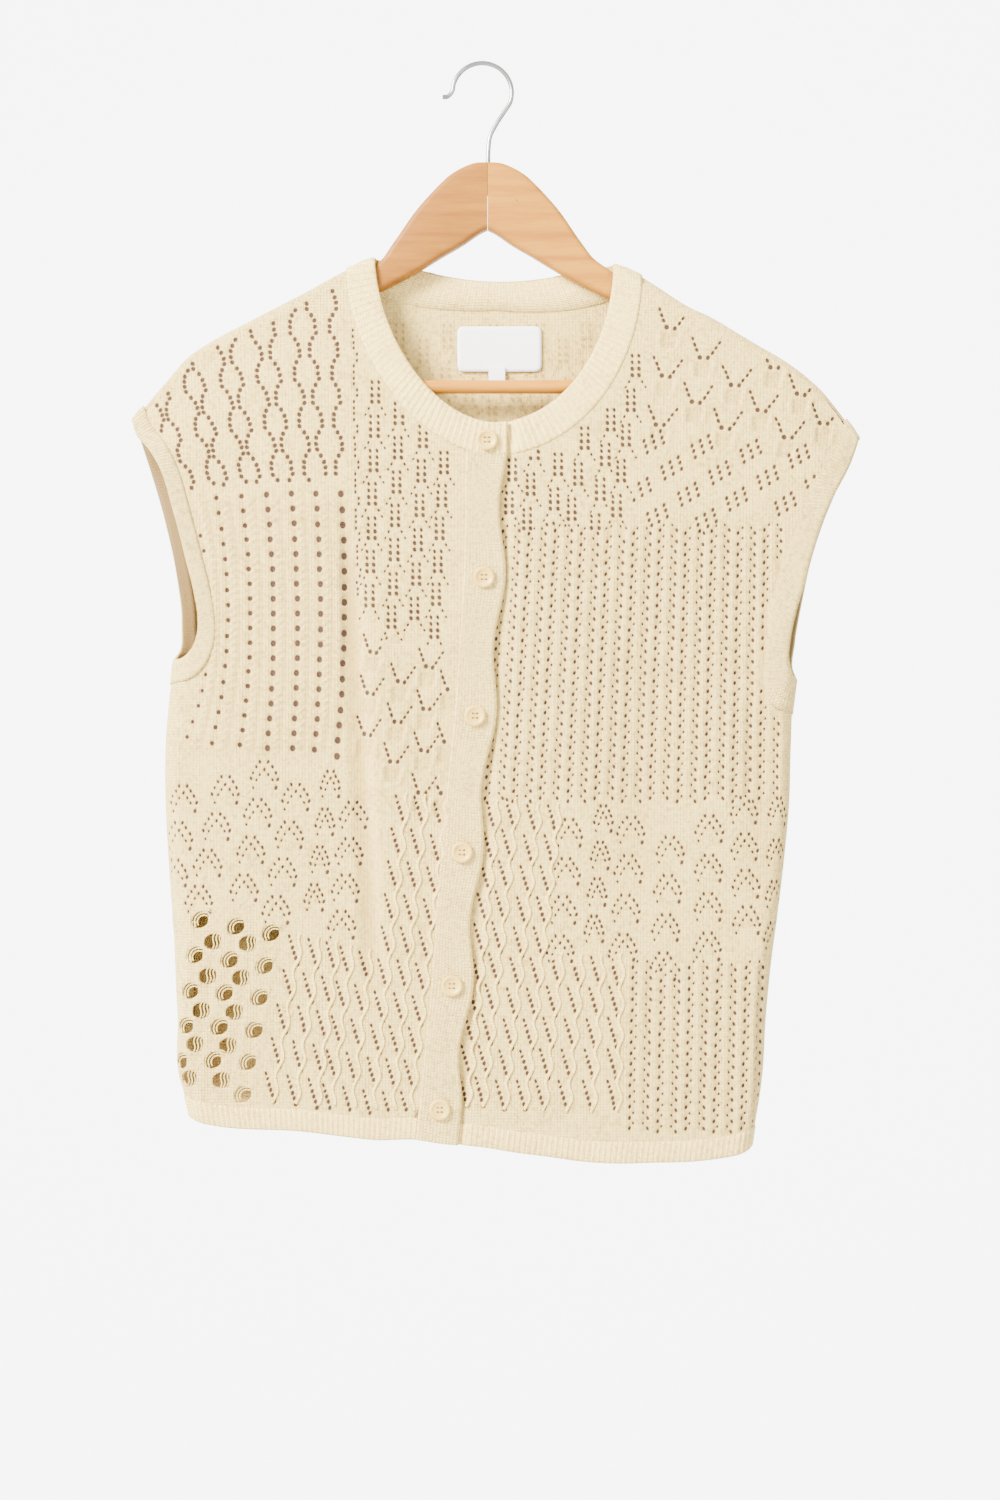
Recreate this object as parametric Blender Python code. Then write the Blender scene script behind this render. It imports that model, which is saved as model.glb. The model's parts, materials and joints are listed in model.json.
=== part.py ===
"""A sleeveless cardigan in patchwork lace knit, hanging on a wooden hanger.

Sizes are in millimetres until a mesh is made. A place on the garment is given as the
viewer sees it: x to the viewer's right and drop downwards, both from the inner top of
the hook, and y away from the viewer. The front of the garment faces -y. Meshes are in
metres with +Z up, and the origin is the inner top of the hook.

The cloth is one flattened form, front and back, that turns round at the sides and over
the hanger. Every piece is read from that form: sheet(u, v, face) is its outer face,
with u and v measured along the cloth, so a point past the side or the ridge goes round.
"""
import math
from types import SimpleNamespace

import bmesh
import bpy
import numpy as np
from mathutils import Vector
from mathutils.geometry import tessellate_polygon

MM = 0.001
FRONT, BACK = -1.0, 1.0
LEFT, RIGHT = -1.0, 1.0         # the viewer's left and right
QUARTER = math.pi / 2

# Cloth
CLOTH = 2.0                     # wall of the lace panels
GAP = 0.3                       # between pieces that meet at a seam
HALF_GAP = GAP / 2
ARM_GAP = 0.8                   # at the curved seams of the armholes
NECK_GAP = 1.1                  # and of the neck, where a straight edge cuts the corner
SHOULDER_GAP = 1.4              # and along the shoulder
HEM_GAP = 0.9                   # and above the ribbed hem
SIDE_ROUND = 14.0               # how far in from the outline the side turns to the back
SHOULDER_SEAM = 7.0             # how far below the ridge the shoulder seam runs
CREST = 9.2                     # radius of the cloth over the hanger's arm
TIP_CREST = 6.0                 # and out at the shoulder tip, past the arm's end
RELIEF = 0.9                    # height of cables, cords and ribs

# Ribbing
RIB_PITCH = 3.7
NECK_WIDTH = 19.0
NECK_WIDTH_FRONT = 22.0
HEM_HEIGHT = 15.0

# Front bands and buttons
BAND_HALF = 14.5
SCALLOP = 5.5                   # how far the edge pulls in between two buttons
LAP = 3.2                       # how far the under layer lies behind the upper one
NECK_LAP = 3.8
NECK_STAND = 4.0                # the back of the neck stands off the hanger's middle
BUTTON_RADIUS = 7.5
BUTTON_THICK = 2.8

# Hanger
WOOD_HALF = 6.0
WOOD_ROUND = 4.0
WOOD_BELOW = 4.3                # from the cloth's ridge down to the wood under it
HANGER_X = 3.8
SWEEP = 0.03                    # the arms come forward by this much of their length
SWEEP_SOFT = 20.0
BAR_RADIUS = 4.7
BAR_DROP = 228.3
ARM_REACH = 212.0
FOOT_X = 190.0                  # where the arm's foot takes the bar, from the middle
HOOK_WIRE = 1.6
HOOK_RADIUS = 21.0


def table(names, *rows):
    """A short table: one array for each named column."""
    return SimpleNamespace(**dict(zip(names.split(), np.array(rows, float).T)))


# The outline from the front: where the cloth turns to the back on each side.
SIDES = table("drop left right",
              (250, -246, 266), (285, -238, 257), (321, -229, 243), (357, -222, 235),
              (392, -217.5, 228), (426, -217.5, 223), (446, -220, 219.5),
              (484, -223, 217.5), (520, -223, 216.5), (560, -221, 213), (602, -218, 208),
              (632, -216, 204), (673, -214.5, 200), (714, -213, 197.5), (732, -208, 195),
              (748, -205, 192), (770, -204, 189))
# The ridge of the shoulders, seen from the front.
RIDGE = table("x drop",
              (-246.2, 252), (-224, 226), (-206.6, 206.5), (-196, 199), (-164, 181.3),
              (-129, 163), (-92, 143), (-79, 137.5), (-60, 136), (0, 138), (75, 139.5),
              (94, 141.5), (109, 147.4), (122, 155.5), (146, 171), (162, 178.6),
              (177, 187.6), (194, 198), (211, 208), (227, 219.5), (240, 231.5),
              (252, 246.4), (266, 266))
# Half the depth of the garment, front to back.
DEPTH = table("drop half",
              (130, 11), (200, 12.5), (230, 13.5), (330, 13.5), (430, 13.5), (520, 15),
              (640, 18), (775, 20))
# The lower edge of the hem.
HEM = table("x drop",
            (-210, 741), (-182, 746.5), (-125, 750), (-93, 754), (-75, 756), (-45, 756),
            (-29, 758.5), (0, 761.2), (22, 764.7), (44, 767.5), (74, 771.4), (97, 772.4),
            (119, 771.7), (149, 770.7), (175, 767), (192, 763))
# Buttons, from the neck down. The bands run through them.
BUTTONS = table("x drop",
                (3.5, 267), (1.4, 363), (-4.9, 460), (-14, 555.5), (-21, 648.5),
                (-29.4, 734.6))
# Soft folds: where each starts and ends, its half width and how far it stands out.
FOLDS = table("face x_top drop_top x_low drop_low half_width height",
              (FRONT, -92, 300, -82, 590, 13, -3.5),
              (FRONT, -72, 330, -66, 640, 16, 2.0),
              (FRONT, 104, 380, 110, 610, 22, -2.5),
              (FRONT, 192, 440, 199, 600, 12, -3.0),
              (FRONT, -160, 400, -176, 700, 26, 1.8),
              (FRONT, 150, 620, 146, 770, 24, 2.0),
              (BACK, -120, 330, -128, 700, 20, -3.0),
              (BACK, 10, 300, 16, 720, 30, 2.5),
              (BACK, 128, 400, 138, 740, 18, -2.5))
# Neckline: half width, and where its lowest and its back points are.
NECK_X = 8.5
NECK_HALF = 84.5
NECK_FRONT_DROP = 255.0
NECK_BACK_DIP = 13.5
NECK_POWER = {LEFT: 1.8, RIGHT: 2.0}
NECK_BACK_POWER = 1.4

# Armholes: the opening's edge and the seam of its band, from the shoulder ridge down the
# front, round the underarm (face 0, at the side) and up the back to the ridge again.
ARM_EDGE = {
    LEFT: table("face x drop",
                (FRONT, -246.2, 252), (FRONT, -241.5, 263.4), (FRONT, -232.8, 273.3),
                (FRONT, -225.7, 284.6), (FRONT, -215.1, 317.1), (FRONT, -206.6, 350.3),
                (FRONT, -200.3, 376.5), (FRONT, -198.1, 391), (FRONT, -198.9, 404),
                (FRONT, -202.6, 413.5), (FRONT, -208, 419), (0, -217, 421.5),
                (BACK, -214.5, 415), (BACK, -213, 395), (BACK, -217.5, 357),
                (BACK, -225, 321), (BACK, -235, 286), (BACK, -246.2, 252)),
    RIGHT: table("face x drop",
                 (FRONT, 265.4, 265), (FRONT, 258, 282.4), (FRONT, 244, 308.6),
                 (FRONT, 236.8, 325.6), (FRONT, 230.4, 346), (FRONT, 225, 368),
                 (FRONT, 218.5, 391), (FRONT, 214.9, 410), (FRONT, 214.5, 421),
                 (FRONT, 217.4, 431), (0, 221, 436),
                 (BACK, 220, 428), (BACK, 221.5, 408), (BACK, 226, 382),
                 (BACK, 233, 351), (BACK, 242, 322), (BACK, 255, 290), (BACK, 265.4, 265)),
}
ARM_SEAM = {
    LEFT: table("face x drop",
                (FRONT, -238, 242.5), (FRONT, -231.5, 256.8), (FRONT, -223, 267),
                (FRONT, -215, 281), (FRONT, -204.5, 314), (FRONT, -195.8, 348),
                (FRONT, -189.3, 374.5), (FRONT, -186.4, 392), (FRONT, -186.8, 408),
                (FRONT, -191.5, 422), (FRONT, -200, 432), (0, -217, 438.5),
                (BACK, -206, 428), (BACK, -203, 396), (BACK, -208, 357),
                (BACK, -215.5, 319), (BACK, -226, 281), (BACK, -238, 242.5)),
    RIGHT: table("face x drop",
                 (FRONT, 256, 251.6), (FRONT, 246.5, 275.5), (FRONT, 231, 301),
                 (FRONT, 222, 321), (FRONT, 213.5, 343), (FRONT, 205.5, 366),
                 (FRONT, 200, 391), (FRONT, 198, 414), (FRONT, 196.5, 436),
                 (FRONT, 201.0, 451.5), (0, 220, 459),
                 (BACK, 207, 444), (BACK, 208.5, 411), (BACK, 214, 383),
                 (BACK, 222, 349), (BACK, 231.5, 317), (BACK, 244.5, 284),
                 (BACK, 256, 251.6)),
}
ARM_STEPS = 11                  # straight runs along each band, front and back alike
TURN_STEPS = 3                  # round the side at the underarm
CLOSER = 1.45                   # and the runs are shorter near it
CREST_STEPS = 4                 # and over each side of the ridge
OUTER_STAND = 0.5               # bands stand this much proud of the lace
BAND_INSET = 2.2                # and their inner face lies this much inside it

# The hanger's hump seen from the front, out from the middle, and where it goes under
# the neckband on each side.
HUMP = table("x drop", (0, 69), (9, 69.6), (19, 73.5), (27, 78.5), (34, 85), (42, 93.5),
             (49, 101.5), (56, 111), (62, 120))
HUMP_END = {LEFT: ((68, 128.5), (74, 137.3), (78, 141.2)),
            RIGHT: ((68, 128.5), (75, 137.5), (82, 142.7), (88.5, 147.2))}

# The open trellis in the lower corner of the right front: the four corners of its
# lattice, as seen, and the half-drop openings between.
TRELLIS = table("x drop", (-194.2, 603.4), (-144.9, 612.8), (-210.5, 727), (-164.5, 725.5))
TRELLIS_COLUMNS = 2
TRELLIS_ROWS = 5
TRELLIS_HALF_DROP = (0.36, 0.53)
TRELLIS_EDGE = -205.0           # openings nearer the side than this stay closed
TRELLIS_SILL = 2.5              # cloth left between an opening and the hem's seam
OPENING_RADII = (4.2, 3.4)
OPENING_SIDES = 8

COLOURS = {
    "knit": ((0.80, 0.71, 0.56), 0.9, 0.0),
    "button": ((0.84, 0.74, 0.58), 0.35, 0.0),
    "label": ((0.80, 0.80, 0.77), 0.6, 0.0),
    "wood_right": ((0.64, 0.36, 0.18), 0.45, 0.0),
    "wood_left": ((0.72, 0.44, 0.23), 0.45, 0.0),
    "wood_bar": ((0.70, 0.43, 0.20), 0.45, 0.0),
    "steel": ((0.62, 0.62, 0.60), 0.25, 1.0),
}


# ---------------------------------------------------------------- reading the tables

def smooth(t):
    """0 to 1 with soft ends."""
    t = np.clip(t, 0.0, 1.0)
    return t * t * (3.0 - 2.0 * t)


def through(stations, values, at):
    """The smooth curve through a table's rows, held level past its ends."""
    at = np.asarray(at, float)
    slope = np.gradient(values, stations)
    k = np.clip(np.searchsorted(stations, at) - 1, 0, len(stations) - 2)
    span = stations[k + 1] - stations[k]
    t = np.clip((at - stations[k]) / span, 0.0, 1.0)
    rise = values[k + 1] - values[k]
    ease = t * t * (3.0 - 2.0 * t)
    start = t * (1.0 - t) ** 2 * span * slope[k]
    end = t * t * (t - 1.0) * span * slope[k + 1]
    return values[k] + ease * rise + start + end


def along(points, count, grade=1.0):
    """The same line as count + 1 points: evenly spaced, or closer at its start."""
    points = np.asarray(points, float)
    steps = np.linalg.norm(np.diff(points, axis=0), axis=1)
    length = np.concatenate(([0.0], np.cumsum(steps)))
    at = np.linspace(0.0, 1.0, count + 1) ** grade * length[-1]
    return np.stack([np.interp(at, length, column) for column in points.T], axis=1)


def spline(points, samples):
    """A smooth line through points, as many samples as asked for."""
    points = np.asarray(points, float)
    steps = np.linalg.norm(np.diff(points, axis=0), axis=1)
    length = np.concatenate(([0.0], np.cumsum(steps)))
    at = np.linspace(0.0, length[-1], samples)
    return np.stack([through(length, column, at) for column in points.T], axis=1)


# ---------------------------------------------------------------- the form of the cloth

def ridge(x):
    return through(RIDGE.x, RIDGE.drop, x)


def crest(x):
    """Radius of the turn over the ridge, smaller past the ends of the hanger."""
    past = smooth((np.abs(np.asarray(x) - HANGER_X) - ARM_REACH) / 34.0)
    return CREST + (TIP_CREST - CREST) * past


def outline(v, hand):
    """The side outline. It stands clear of the shoulder tip, which only the ridge turns."""
    rim = np.where(hand < 0, through(SIDES.drop, SIDES.left, v),
                   through(SIDES.drop, SIDES.right, v))
    return rim + hand * 20.0 * (1.0 - smooth((v - 255.0) / 150.0))


def side_start(v, hand):
    return outline(v, hand) - hand * SIDE_ROUND


def side_seam(v, hand):
    """Where the side seam lies, measured along the cloth."""
    return side_start(v, hand) + hand * SIDE_ROUND * QUARTER


def forward_sweep(x):
    """How far the hanger's arms have come forward."""
    return -SWEEP * (np.sqrt((x - HANGER_X) ** 2 + SWEEP_SOFT ** 2) - SWEEP_SOFT)


def middle(x, v):
    """The garment's middle plane: it follows the arms, less so lower down."""
    return forward_sweep(x) * (1.0 - 0.5 * smooth((v - 240.0) / 450.0))


def half_depth(x, v):
    body = through(DEPTH.drop, DEPTH.half, v)
    top = crest(x)
    return top + (body - top) * smooth((v - ridge(x)) / 70.0)


def folds(x, drop, face):
    """How far the soft folds stand out."""
    height = np.zeros(np.broadcast(x, drop).shape)
    for k in range(len(FOLDS.x_top)):
        run = (drop - FOLDS.drop_top[k]) / (FOLDS.drop_low[k] - FOLDS.drop_top[k])
        line = FOLDS.x_top[k] + (FOLDS.x_low[k] - FOLDS.x_top[k]) * run
        across = np.clip(np.abs(x - line) / (2.0 * FOLDS.half_width[k]), 0.0, 1.0)
        profile = 0.5 + 0.5 * np.cos(math.pi * across)
        ends = smooth(run / 0.25) * smooth((1.0 - run) / 0.25)
        height = height + np.where(FOLDS.face[k] == face,
                                   FOLDS.height[k] * profile * ends, 0.0)
    return height


def form(u, v, face):
    """The form itself, at a place measured along the cloth."""
    u, v, face = np.broadcast_arrays(np.asarray(u, float), v, face)
    hand = np.where(u < NECK_X, LEFT, RIGHT)
    start = side_start(v, hand)
    past = hand * (u - start)
    turn = np.clip(past / SIDE_ROUND, 0.0, QUARTER)
    x = np.where(past > 0, start + hand * SIDE_ROUND * np.sin(turn), u)
    radius = crest(x)
    top = ridge(x) + radius
    over = np.clip((top - v) / radius, 0.0, math.pi)
    drop = np.where(v < top, top - radius * np.sin(over), v)
    depth = half_depth(x, np.maximum(v, ridge(x))) * np.cos(turn) * np.cos(over)
    fold = folds(x, drop, face) * np.cos(turn) * smooth((v - top) / 30.0)
    open_neck = smooth((NECK_HALF + 1.5 - np.abs(x - NECK_X)) / 14.0)
    stand = np.where(face == BACK, NECK_STAND * open_neck * np.sin(over), 0.0)
    y = middle(x, drop) + face * (depth + fold + stand)
    return np.stack([x, y, -drop], axis=-1)


def sheet(u, v, face, out=0.0):
    """The form moved out along its own normal, to the outer side."""
    step = 0.2
    here = form(u, v, face)
    du = form(np.asarray(u) + step, v, face) - form(np.asarray(u) - step, v, face)
    dv = form(u, np.asarray(v) + step, face) - form(u, np.asarray(v) - step, face)
    normal = np.cross(du, dv) * np.asarray(face)[..., None]
    normal = normal / np.maximum(np.linalg.norm(normal, axis=-1, keepdims=True), 1e-9)
    return here + normal * np.asarray(out)[..., None]


def flat(x, drop):
    """A place as the viewer sees it, measured along the cloth instead."""
    radius = crest(x)
    top = ridge(x) + radius
    over = np.arcsin(np.clip((top - drop) / radius, 0.0, 1.0))
    v = np.where(drop < top, top - radius * over, drop)
    hand = np.where(np.asarray(x) < NECK_X, LEFT, RIGHT)
    start = side_start(v, hand)
    past = np.clip(hand * (x - start) / SIDE_ROUND, 0.0, 1.0)
    u = np.where(past > 0, start + hand * SIDE_ROUND * np.arcsin(past), x)
    return u, v


def from_back(u, v):
    """The same place near the ridge, counted from the back face instead of the front."""
    return u, 2.0 * (ridge(u) + crest(u)) - math.pi * crest(u) - v


# ---------------------------------------------------------------- seams and edges

def band_middle(drop):
    """The line through the buttons, run straight on to the neck and the hem."""
    line = through(BUTTONS.drop, BUTTONS.x, drop)
    low = np.maximum(np.asarray(drop) - BUTTONS.drop[-1], 0.0)
    return line - 0.1 * low


def band_edge(drop):
    """The free edge of the upper band, pulled in between the buttons."""
    place = np.interp(drop, BUTTONS.drop, np.arange(len(BUTTONS.drop)))
    pull = SCALLOP * np.sin(math.pi * place) ** 2
    return band_middle(drop) + BAND_HALF - pull


def lap(u, v, amount):
    """How far the under front lies back beneath the upper band."""
    free = band_middle(v) + BAND_HALF + 0.5
    return -amount * (1.0 - smooth((u - free) / 12.0))


def hem_low(x, face):
    level = through(HEM.x, HEM.drop, x)
    spread = np.clip((np.asarray(x) + 205.0) / 395.0, 0.0, 1.0)
    tuck = np.where(face == BACK, 3.5 * np.sin(math.pi * spread), 0.0)
    return level - tuck


def neck_edge(hand, widen, count, face):
    """A quarter of the neckline, from the centre to the ridge, widen outside the edge."""
    t = np.linspace(0.0, QUARTER, count)
    half = NECK_HALF + widen
    side_x = NECK_X + hand * half
    top = ridge(side_x)
    if face == FRONT:
        power = 2.0 / NECK_POWER[hand]
        front = widen * NECK_WIDTH_FRONT / NECK_WIDTH
        x = NECK_X + hand * half * np.sin(t) ** power
        drop = top + (NECK_FRONT_DROP + front - top) * np.cos(t) ** power
    else:
        x = NECK_X + hand * half * np.sin(t)
        centre_top = ridge(NECK_X)
        base = centre_top + (top - centre_top) * np.sin(t)
        dip = (NECK_BACK_DIP + widen) * (np.cos(t) ** 2) ** NECK_BACK_POWER
        if widen:
            dip = (NECK_BACK_DIP + widen) * np.cos(t) ** 1.2
        drop = base + dip
    u, v = flat(x, np.maximum(drop, ridge(x)))
    return np.stack([u, v], axis=1)


def arm_line(rows, hand, face):
    """One half of an armhole line, measured along the cloth: the front half from the
    ridge down to the side seam, the back half from the side seam up to the ridge."""
    chosen = (rows.face == face) | (rows.face == 0)
    u, v = flat(rows.x[chosen], rows.drop[chosen])
    at_side = rows.face[chosen] == 0
    u = np.where(at_side, side_seam(v, hand), u)
    return spline(np.stack([u, v], axis=1), 400)


def clear_of_band(line, hand):
    """A panel's edge, a seam's gap away from the band's stations."""
    along_it = np.gradient(line, axis=0)
    along_it /= np.linalg.norm(along_it, axis=1, keepdims=True)
    return line + hand * ARM_GAP * np.stack([along_it[:, 1], -along_it[:, 0]], axis=1)


def arm_stations(rows, hand, face):
    """The band's own points on that line, close together where it turns over the
    ridge. The front half has one run down from the ridge to the shoulder seam."""
    line = arm_line(rows, hand, face)
    past_side = hand * (line[:, 0] - side_start(line[:, 1], hand))
    low = line[:, 1] > line[:, 1].max() - 30.0
    if face == BACK:
        flat_from = int(np.argmax(~(low & (past_side > 0))))
        start = int(np.argmax(line[:, 1] < ridge(line[:, 0]) + crest(line[:, 0])))
        return np.concatenate([along(line[:flat_from + 1], TURN_STEPS),
                               along(line[flat_from:start], ARM_STEPS, CLOSER)[1:],
                               along(line[start:], CREST_STEPS - 1)])
    seam = shoulder_seam_v(line[:, 0])
    start = int(np.argmax(line[:, 1] > seam))
    flat_to = len(line) - 1 - int(np.argmax(~(low & (past_side > 0))[::-1]))
    return np.concatenate([along(line[:start + 1], CREST_STEPS - 1),
                           along(line[start:flat_to + 1][::-1], ARM_STEPS, CLOSER)[-2::-1],
                           along(line[flat_to:], TURN_STEPS)[1:]])


def shoulder_seam_v(u):
    """The shoulder seam, on the front face, measured along the cloth."""
    radius = crest(u)
    return ridge(u) + radius * (1.0 - np.arcsin(1.0 - SHOULDER_SEAM / radius))


# ---------------------------------------------------------------- making meshes

def clear_scene():
    for item in list(bpy.data.objects):
        bpy.data.objects.remove(item, do_unlink=True)


def material(name):
    """A plain finish with the part's colour."""
    found = bpy.data.materials.get(name)
    if found:
        return found
    colour, roughness, metallic = COLOURS[name]
    made = bpy.data.materials.new(name)
    made.use_nodes = True
    shader = made.node_tree.nodes["Principled BSDF"]
    shader.inputs["Base Color"].default_value = (*colour, 1.0)
    shader.inputs["Roughness"].default_value = roughness
    shader.inputs["Metallic"].default_value = metallic
    made.diffuse_color = (*colour, 1.0)
    return made


def finish(name, bm, finish_name):
    """Close a bmesh into a named object in metres."""
    bmesh.ops.recalc_face_normals(bm, faces=bm.faces)
    bmesh.ops.triangulate(bm, faces=[f for f in bm.faces if len(f.verts) > 4])
    mesh = bpy.data.meshes.new(name)
    bm.to_mesh(mesh)
    bm.free()
    made = bpy.data.objects.new(name, mesh)
    bpy.context.scene.collection.objects.link(made)
    mesh.materials.append(material(finish_name))
    return made


def shares(verts):
    """How far along its rim each point lies, from 0 to 1."""
    places = np.array([tuple(v.co) for v in verts])
    steps = np.linalg.norm(np.diff(places, axis=0), axis=1)
    length = np.concatenate(([0.0], np.cumsum(steps)))
    return length / length[-1]


def zip_rims(bm, outer, inner, ribbed=False):
    """Close the strip between two rims with different numbers of points. On a ribbed
    rim every other point is a crest, which gets a small face of its own."""
    if ribbed:
        for k in range(1, len(outer), 2):
            bm.faces.new((outer[k - 1], outer[k], outer[k + 1]))
        outer = outer[::2]
    i = j = 0
    last_i, last_j = len(outer) - 1, len(inner) - 1
    share_i, share_j = shares(outer), shares(inner)
    while i < last_i or j < last_j:
        next_i = share_i[i] + share_i[i + 1] if i < last_i else 3.0
        next_j = share_j[j] + share_j[j + 1] if j < last_j else 3.0
        if next_i <= next_j + 1e-4:
            bm.faces.new((outer[i], outer[i + 1], inner[j]))
            i += 1
        else:
            bm.faces.new((outer[i], inner[j + 1], inner[j]))
            j += 1


def grid_faces(bm, points, flip, ring):
    """A grid of points as vertices and faces. A ring's last column is its first."""
    rows, columns = points.shape[:2]
    verts = [[bm.verts.new(points[r, c] * MM) for c in range(columns - ring)]
             for r in range(rows)]
    if ring:
        for row in verts:
            row.append(row[0])
    for r in range(rows - 1):
        for c in range(columns - 1):
            corners = (verts[r][c], verts[r][c + 1], verts[r + 1][c + 1], verts[r + 1][c])
            bm.faces.new(corners[::-1] if flip else corners)
    return verts


def wall(name, outer, inner, finish_name="knit", ring=False, ribbed=False):
    """A closed wall between an outer and an inner grid, which may be coarser."""
    bm = bmesh.new()
    out = grid_faces(bm, outer, False, ring)
    back = grid_faces(bm, inner, True, ring)
    zip_rims(bm, out[0], back[0], ribbed)
    zip_rims(bm, out[-1], back[-1], ribbed)
    if not ring:
        zip_rims(bm, [row[0] for row in out], [row[0] for row in back])
        zip_rims(bm, [row[-1] for row in out], [row[-1] for row in back])
    return finish(name, bm, finish_name)


def patch(bottom, top, left, right, columns, waist):
    """The patch spanned by four edges that share their corners, with its columns at
    given places across. Below the waist it takes the shape of the lower edge, above
    it the shape of the upper one."""
    f = columns[None, :, None]
    g = np.linspace(0.0, 1.0, len(left))[:, None, None]
    across = (1 - f) * left[:, None] + f * right[:, None]
    bottom_bend = bottom - (1 - f[0]) * bottom[0] - f[0] * bottom[-1]
    top_bend = top - (1 - f[0]) * top[0] - f[0] * top[-1]
    lower = 1.0 - smooth(g / waist)
    upper = smooth((g - waist) / (1.0 - waist))
    return across + lower * bottom_bend + upper * top_bend


def subtract(target, cutter):
    """Cut one object out of another and keep the cut mesh."""
    cut = target.modifiers.new("cut", "BOOLEAN")
    cut.operation = "DIFFERENCE"
    cut.object = cutter
    cut.solver = "EXACT"
    cutter.hide_render = True
    cutter.display_type = "WIRE"


# ---------------------------------------------------------------- front and back panels

FRONT_COLUMNS = 18              # across the flat of a front
TURN_COLUMNS = 4                # and round its side
LOWER_ROWS = 14
UPPER_ROWS = ARM_STEPS + TURN_STEPS
CHEST_ROWS = 5                  # of those, up to where the neckband starts
WAIST_DROP = {LEFT: 505.0, RIGHT: 535.0}    # on the front edge, level with the underarm
CABLE_ROWS = (0.44, 0.74)       # where along its height a front carries cables and ribs


def front_columns():
    """Places across a front, from its centre edge to the side, closer at the turn."""
    width = 210.0
    turn = SIDE_ROUND * QUARTER / width
    flat_part = np.linspace(0.0, 1.0 - turn, FRONT_COLUMNS + 1)
    return np.concatenate([flat_part, np.linspace(1.0 - turn, 1.0, TURN_COLUMNS + 1)[1:]])


def front_panel(hand):
    """A front: hem seam below, shoulder seam above, centre edge and side edge."""
    columns = front_columns()
    seam_v = arm_stations(ARM_SEAM[hand], hand, FRONT)[CREST_STEPS - 1:][::-1]
    side_top = seam_v[0, 1] + ARM_GAP
    side_v = np.linspace(hem_low(outline(742.0, hand), FRONT) - HEM_HEIGHT - HEM_GAP,
                         side_top, LOWER_ROWS + 1)
    side = np.stack([side_seam(side_v, hand) - hand * HALF_GAP, side_v], axis=1)
    outer_edge = np.concatenate([side, clear_of_band(seam_v, hand)[1:]])

    ring = neck_edge(hand, NECK_WIDTH + NECK_GAP, 400, FRONT)
    below_seam = ring[:, 1] > shoulder_seam_v(ring[:, 0]) + HALF_GAP
    if hand == LEFT:
        def centre(v):
            return band_middle(v) - BAND_HALF - GAP
        past_band = ring[:, 0] < centre(ring[:, 1])
    else:
        def centre(v):
            return band_middle(v) + UNDER_RIGHT + GAP
        past_band = ring[:, 0] > centre(ring[:, 1])
    neck = ring[below_seam & past_band]
    low = hem_low(centre(750.0), FRONT) - HEM_HEIGHT - HEM_GAP
    lower_v = np.linspace(low, WAIST_DROP[hand], LOWER_ROWS + 1)
    lower = np.stack([centre(lower_v), lower_v], axis=1)
    upper_v = np.linspace(WAIST_DROP[hand], neck[0, 1], CHEST_ROWS + 1)
    upper = np.stack([centre(upper_v), upper_v], axis=1)
    neck_rows = along(neck, UPPER_ROWS - CHEST_ROWS)
    centre_edge = np.concatenate([lower[:-1], upper[:-1], neck_rows])

    across = columns[:, None]
    bottom_x = centre_edge[0, 0] + (outer_edge[0, 0] - centre_edge[0, 0]) * columns
    view_x = np.clip(bottom_x, -206.0, 193.0)
    bottom = np.stack([bottom_x, hem_low(view_x, FRONT) - HEM_HEIGHT - HEM_GAP], axis=1)
    bottom[0], bottom[-1] = centre_edge[0], outer_edge[0]
    top_u = centre_edge[-1, 0] + (outer_edge[-1, 0] - centre_edge[-1, 0]) * across[:, 0]
    top = np.stack([top_u, shoulder_seam_v(top_u) + HALF_GAP], axis=1)
    top[0], top[-1] = centre_edge[-1], outer_edge[-1]
    waist = LOWER_ROWS / (len(outer_edge) - 1)
    cloth = patch(bottom, top, centre_edge, outer_edge, columns, waist)
    u, v = cloth[..., 0], cloth[..., 1]
    face = np.full(u.shape, FRONT)
    sunk = lap(u, v, LAP) if hand == RIGHT else np.zeros(u.shape)
    outer = sheet(u, v, face, sunk + cable_relief(u.shape))
    inner = sheet(u, v, face, sunk - CLOTH)
    name = "front_right" if hand == LEFT else "front_left"
    return wall(name, outer, plain_side(inner))


def cable_relief(shape):
    """Cables and ribs stand up on every other column between the lace."""
    rows, columns = shape
    height = np.zeros(shape)
    first = round(rows * CABLE_ROWS[0])
    last = round(rows * CABLE_ROWS[1])
    height[1:first, 1:FRONT_COLUMNS:2] = 0.6 * RELIEF
    height[first:last, 1:FRONT_COLUMNS:2] = RELIEF
    height[last:-1, 1:FRONT_COLUMNS:2] = 0.6 * RELIEF
    return height


UNDER_LEFT = -12.0              # the under band's edges, from the line of buttons
UNDER_RIGHT = 6.0


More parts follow.
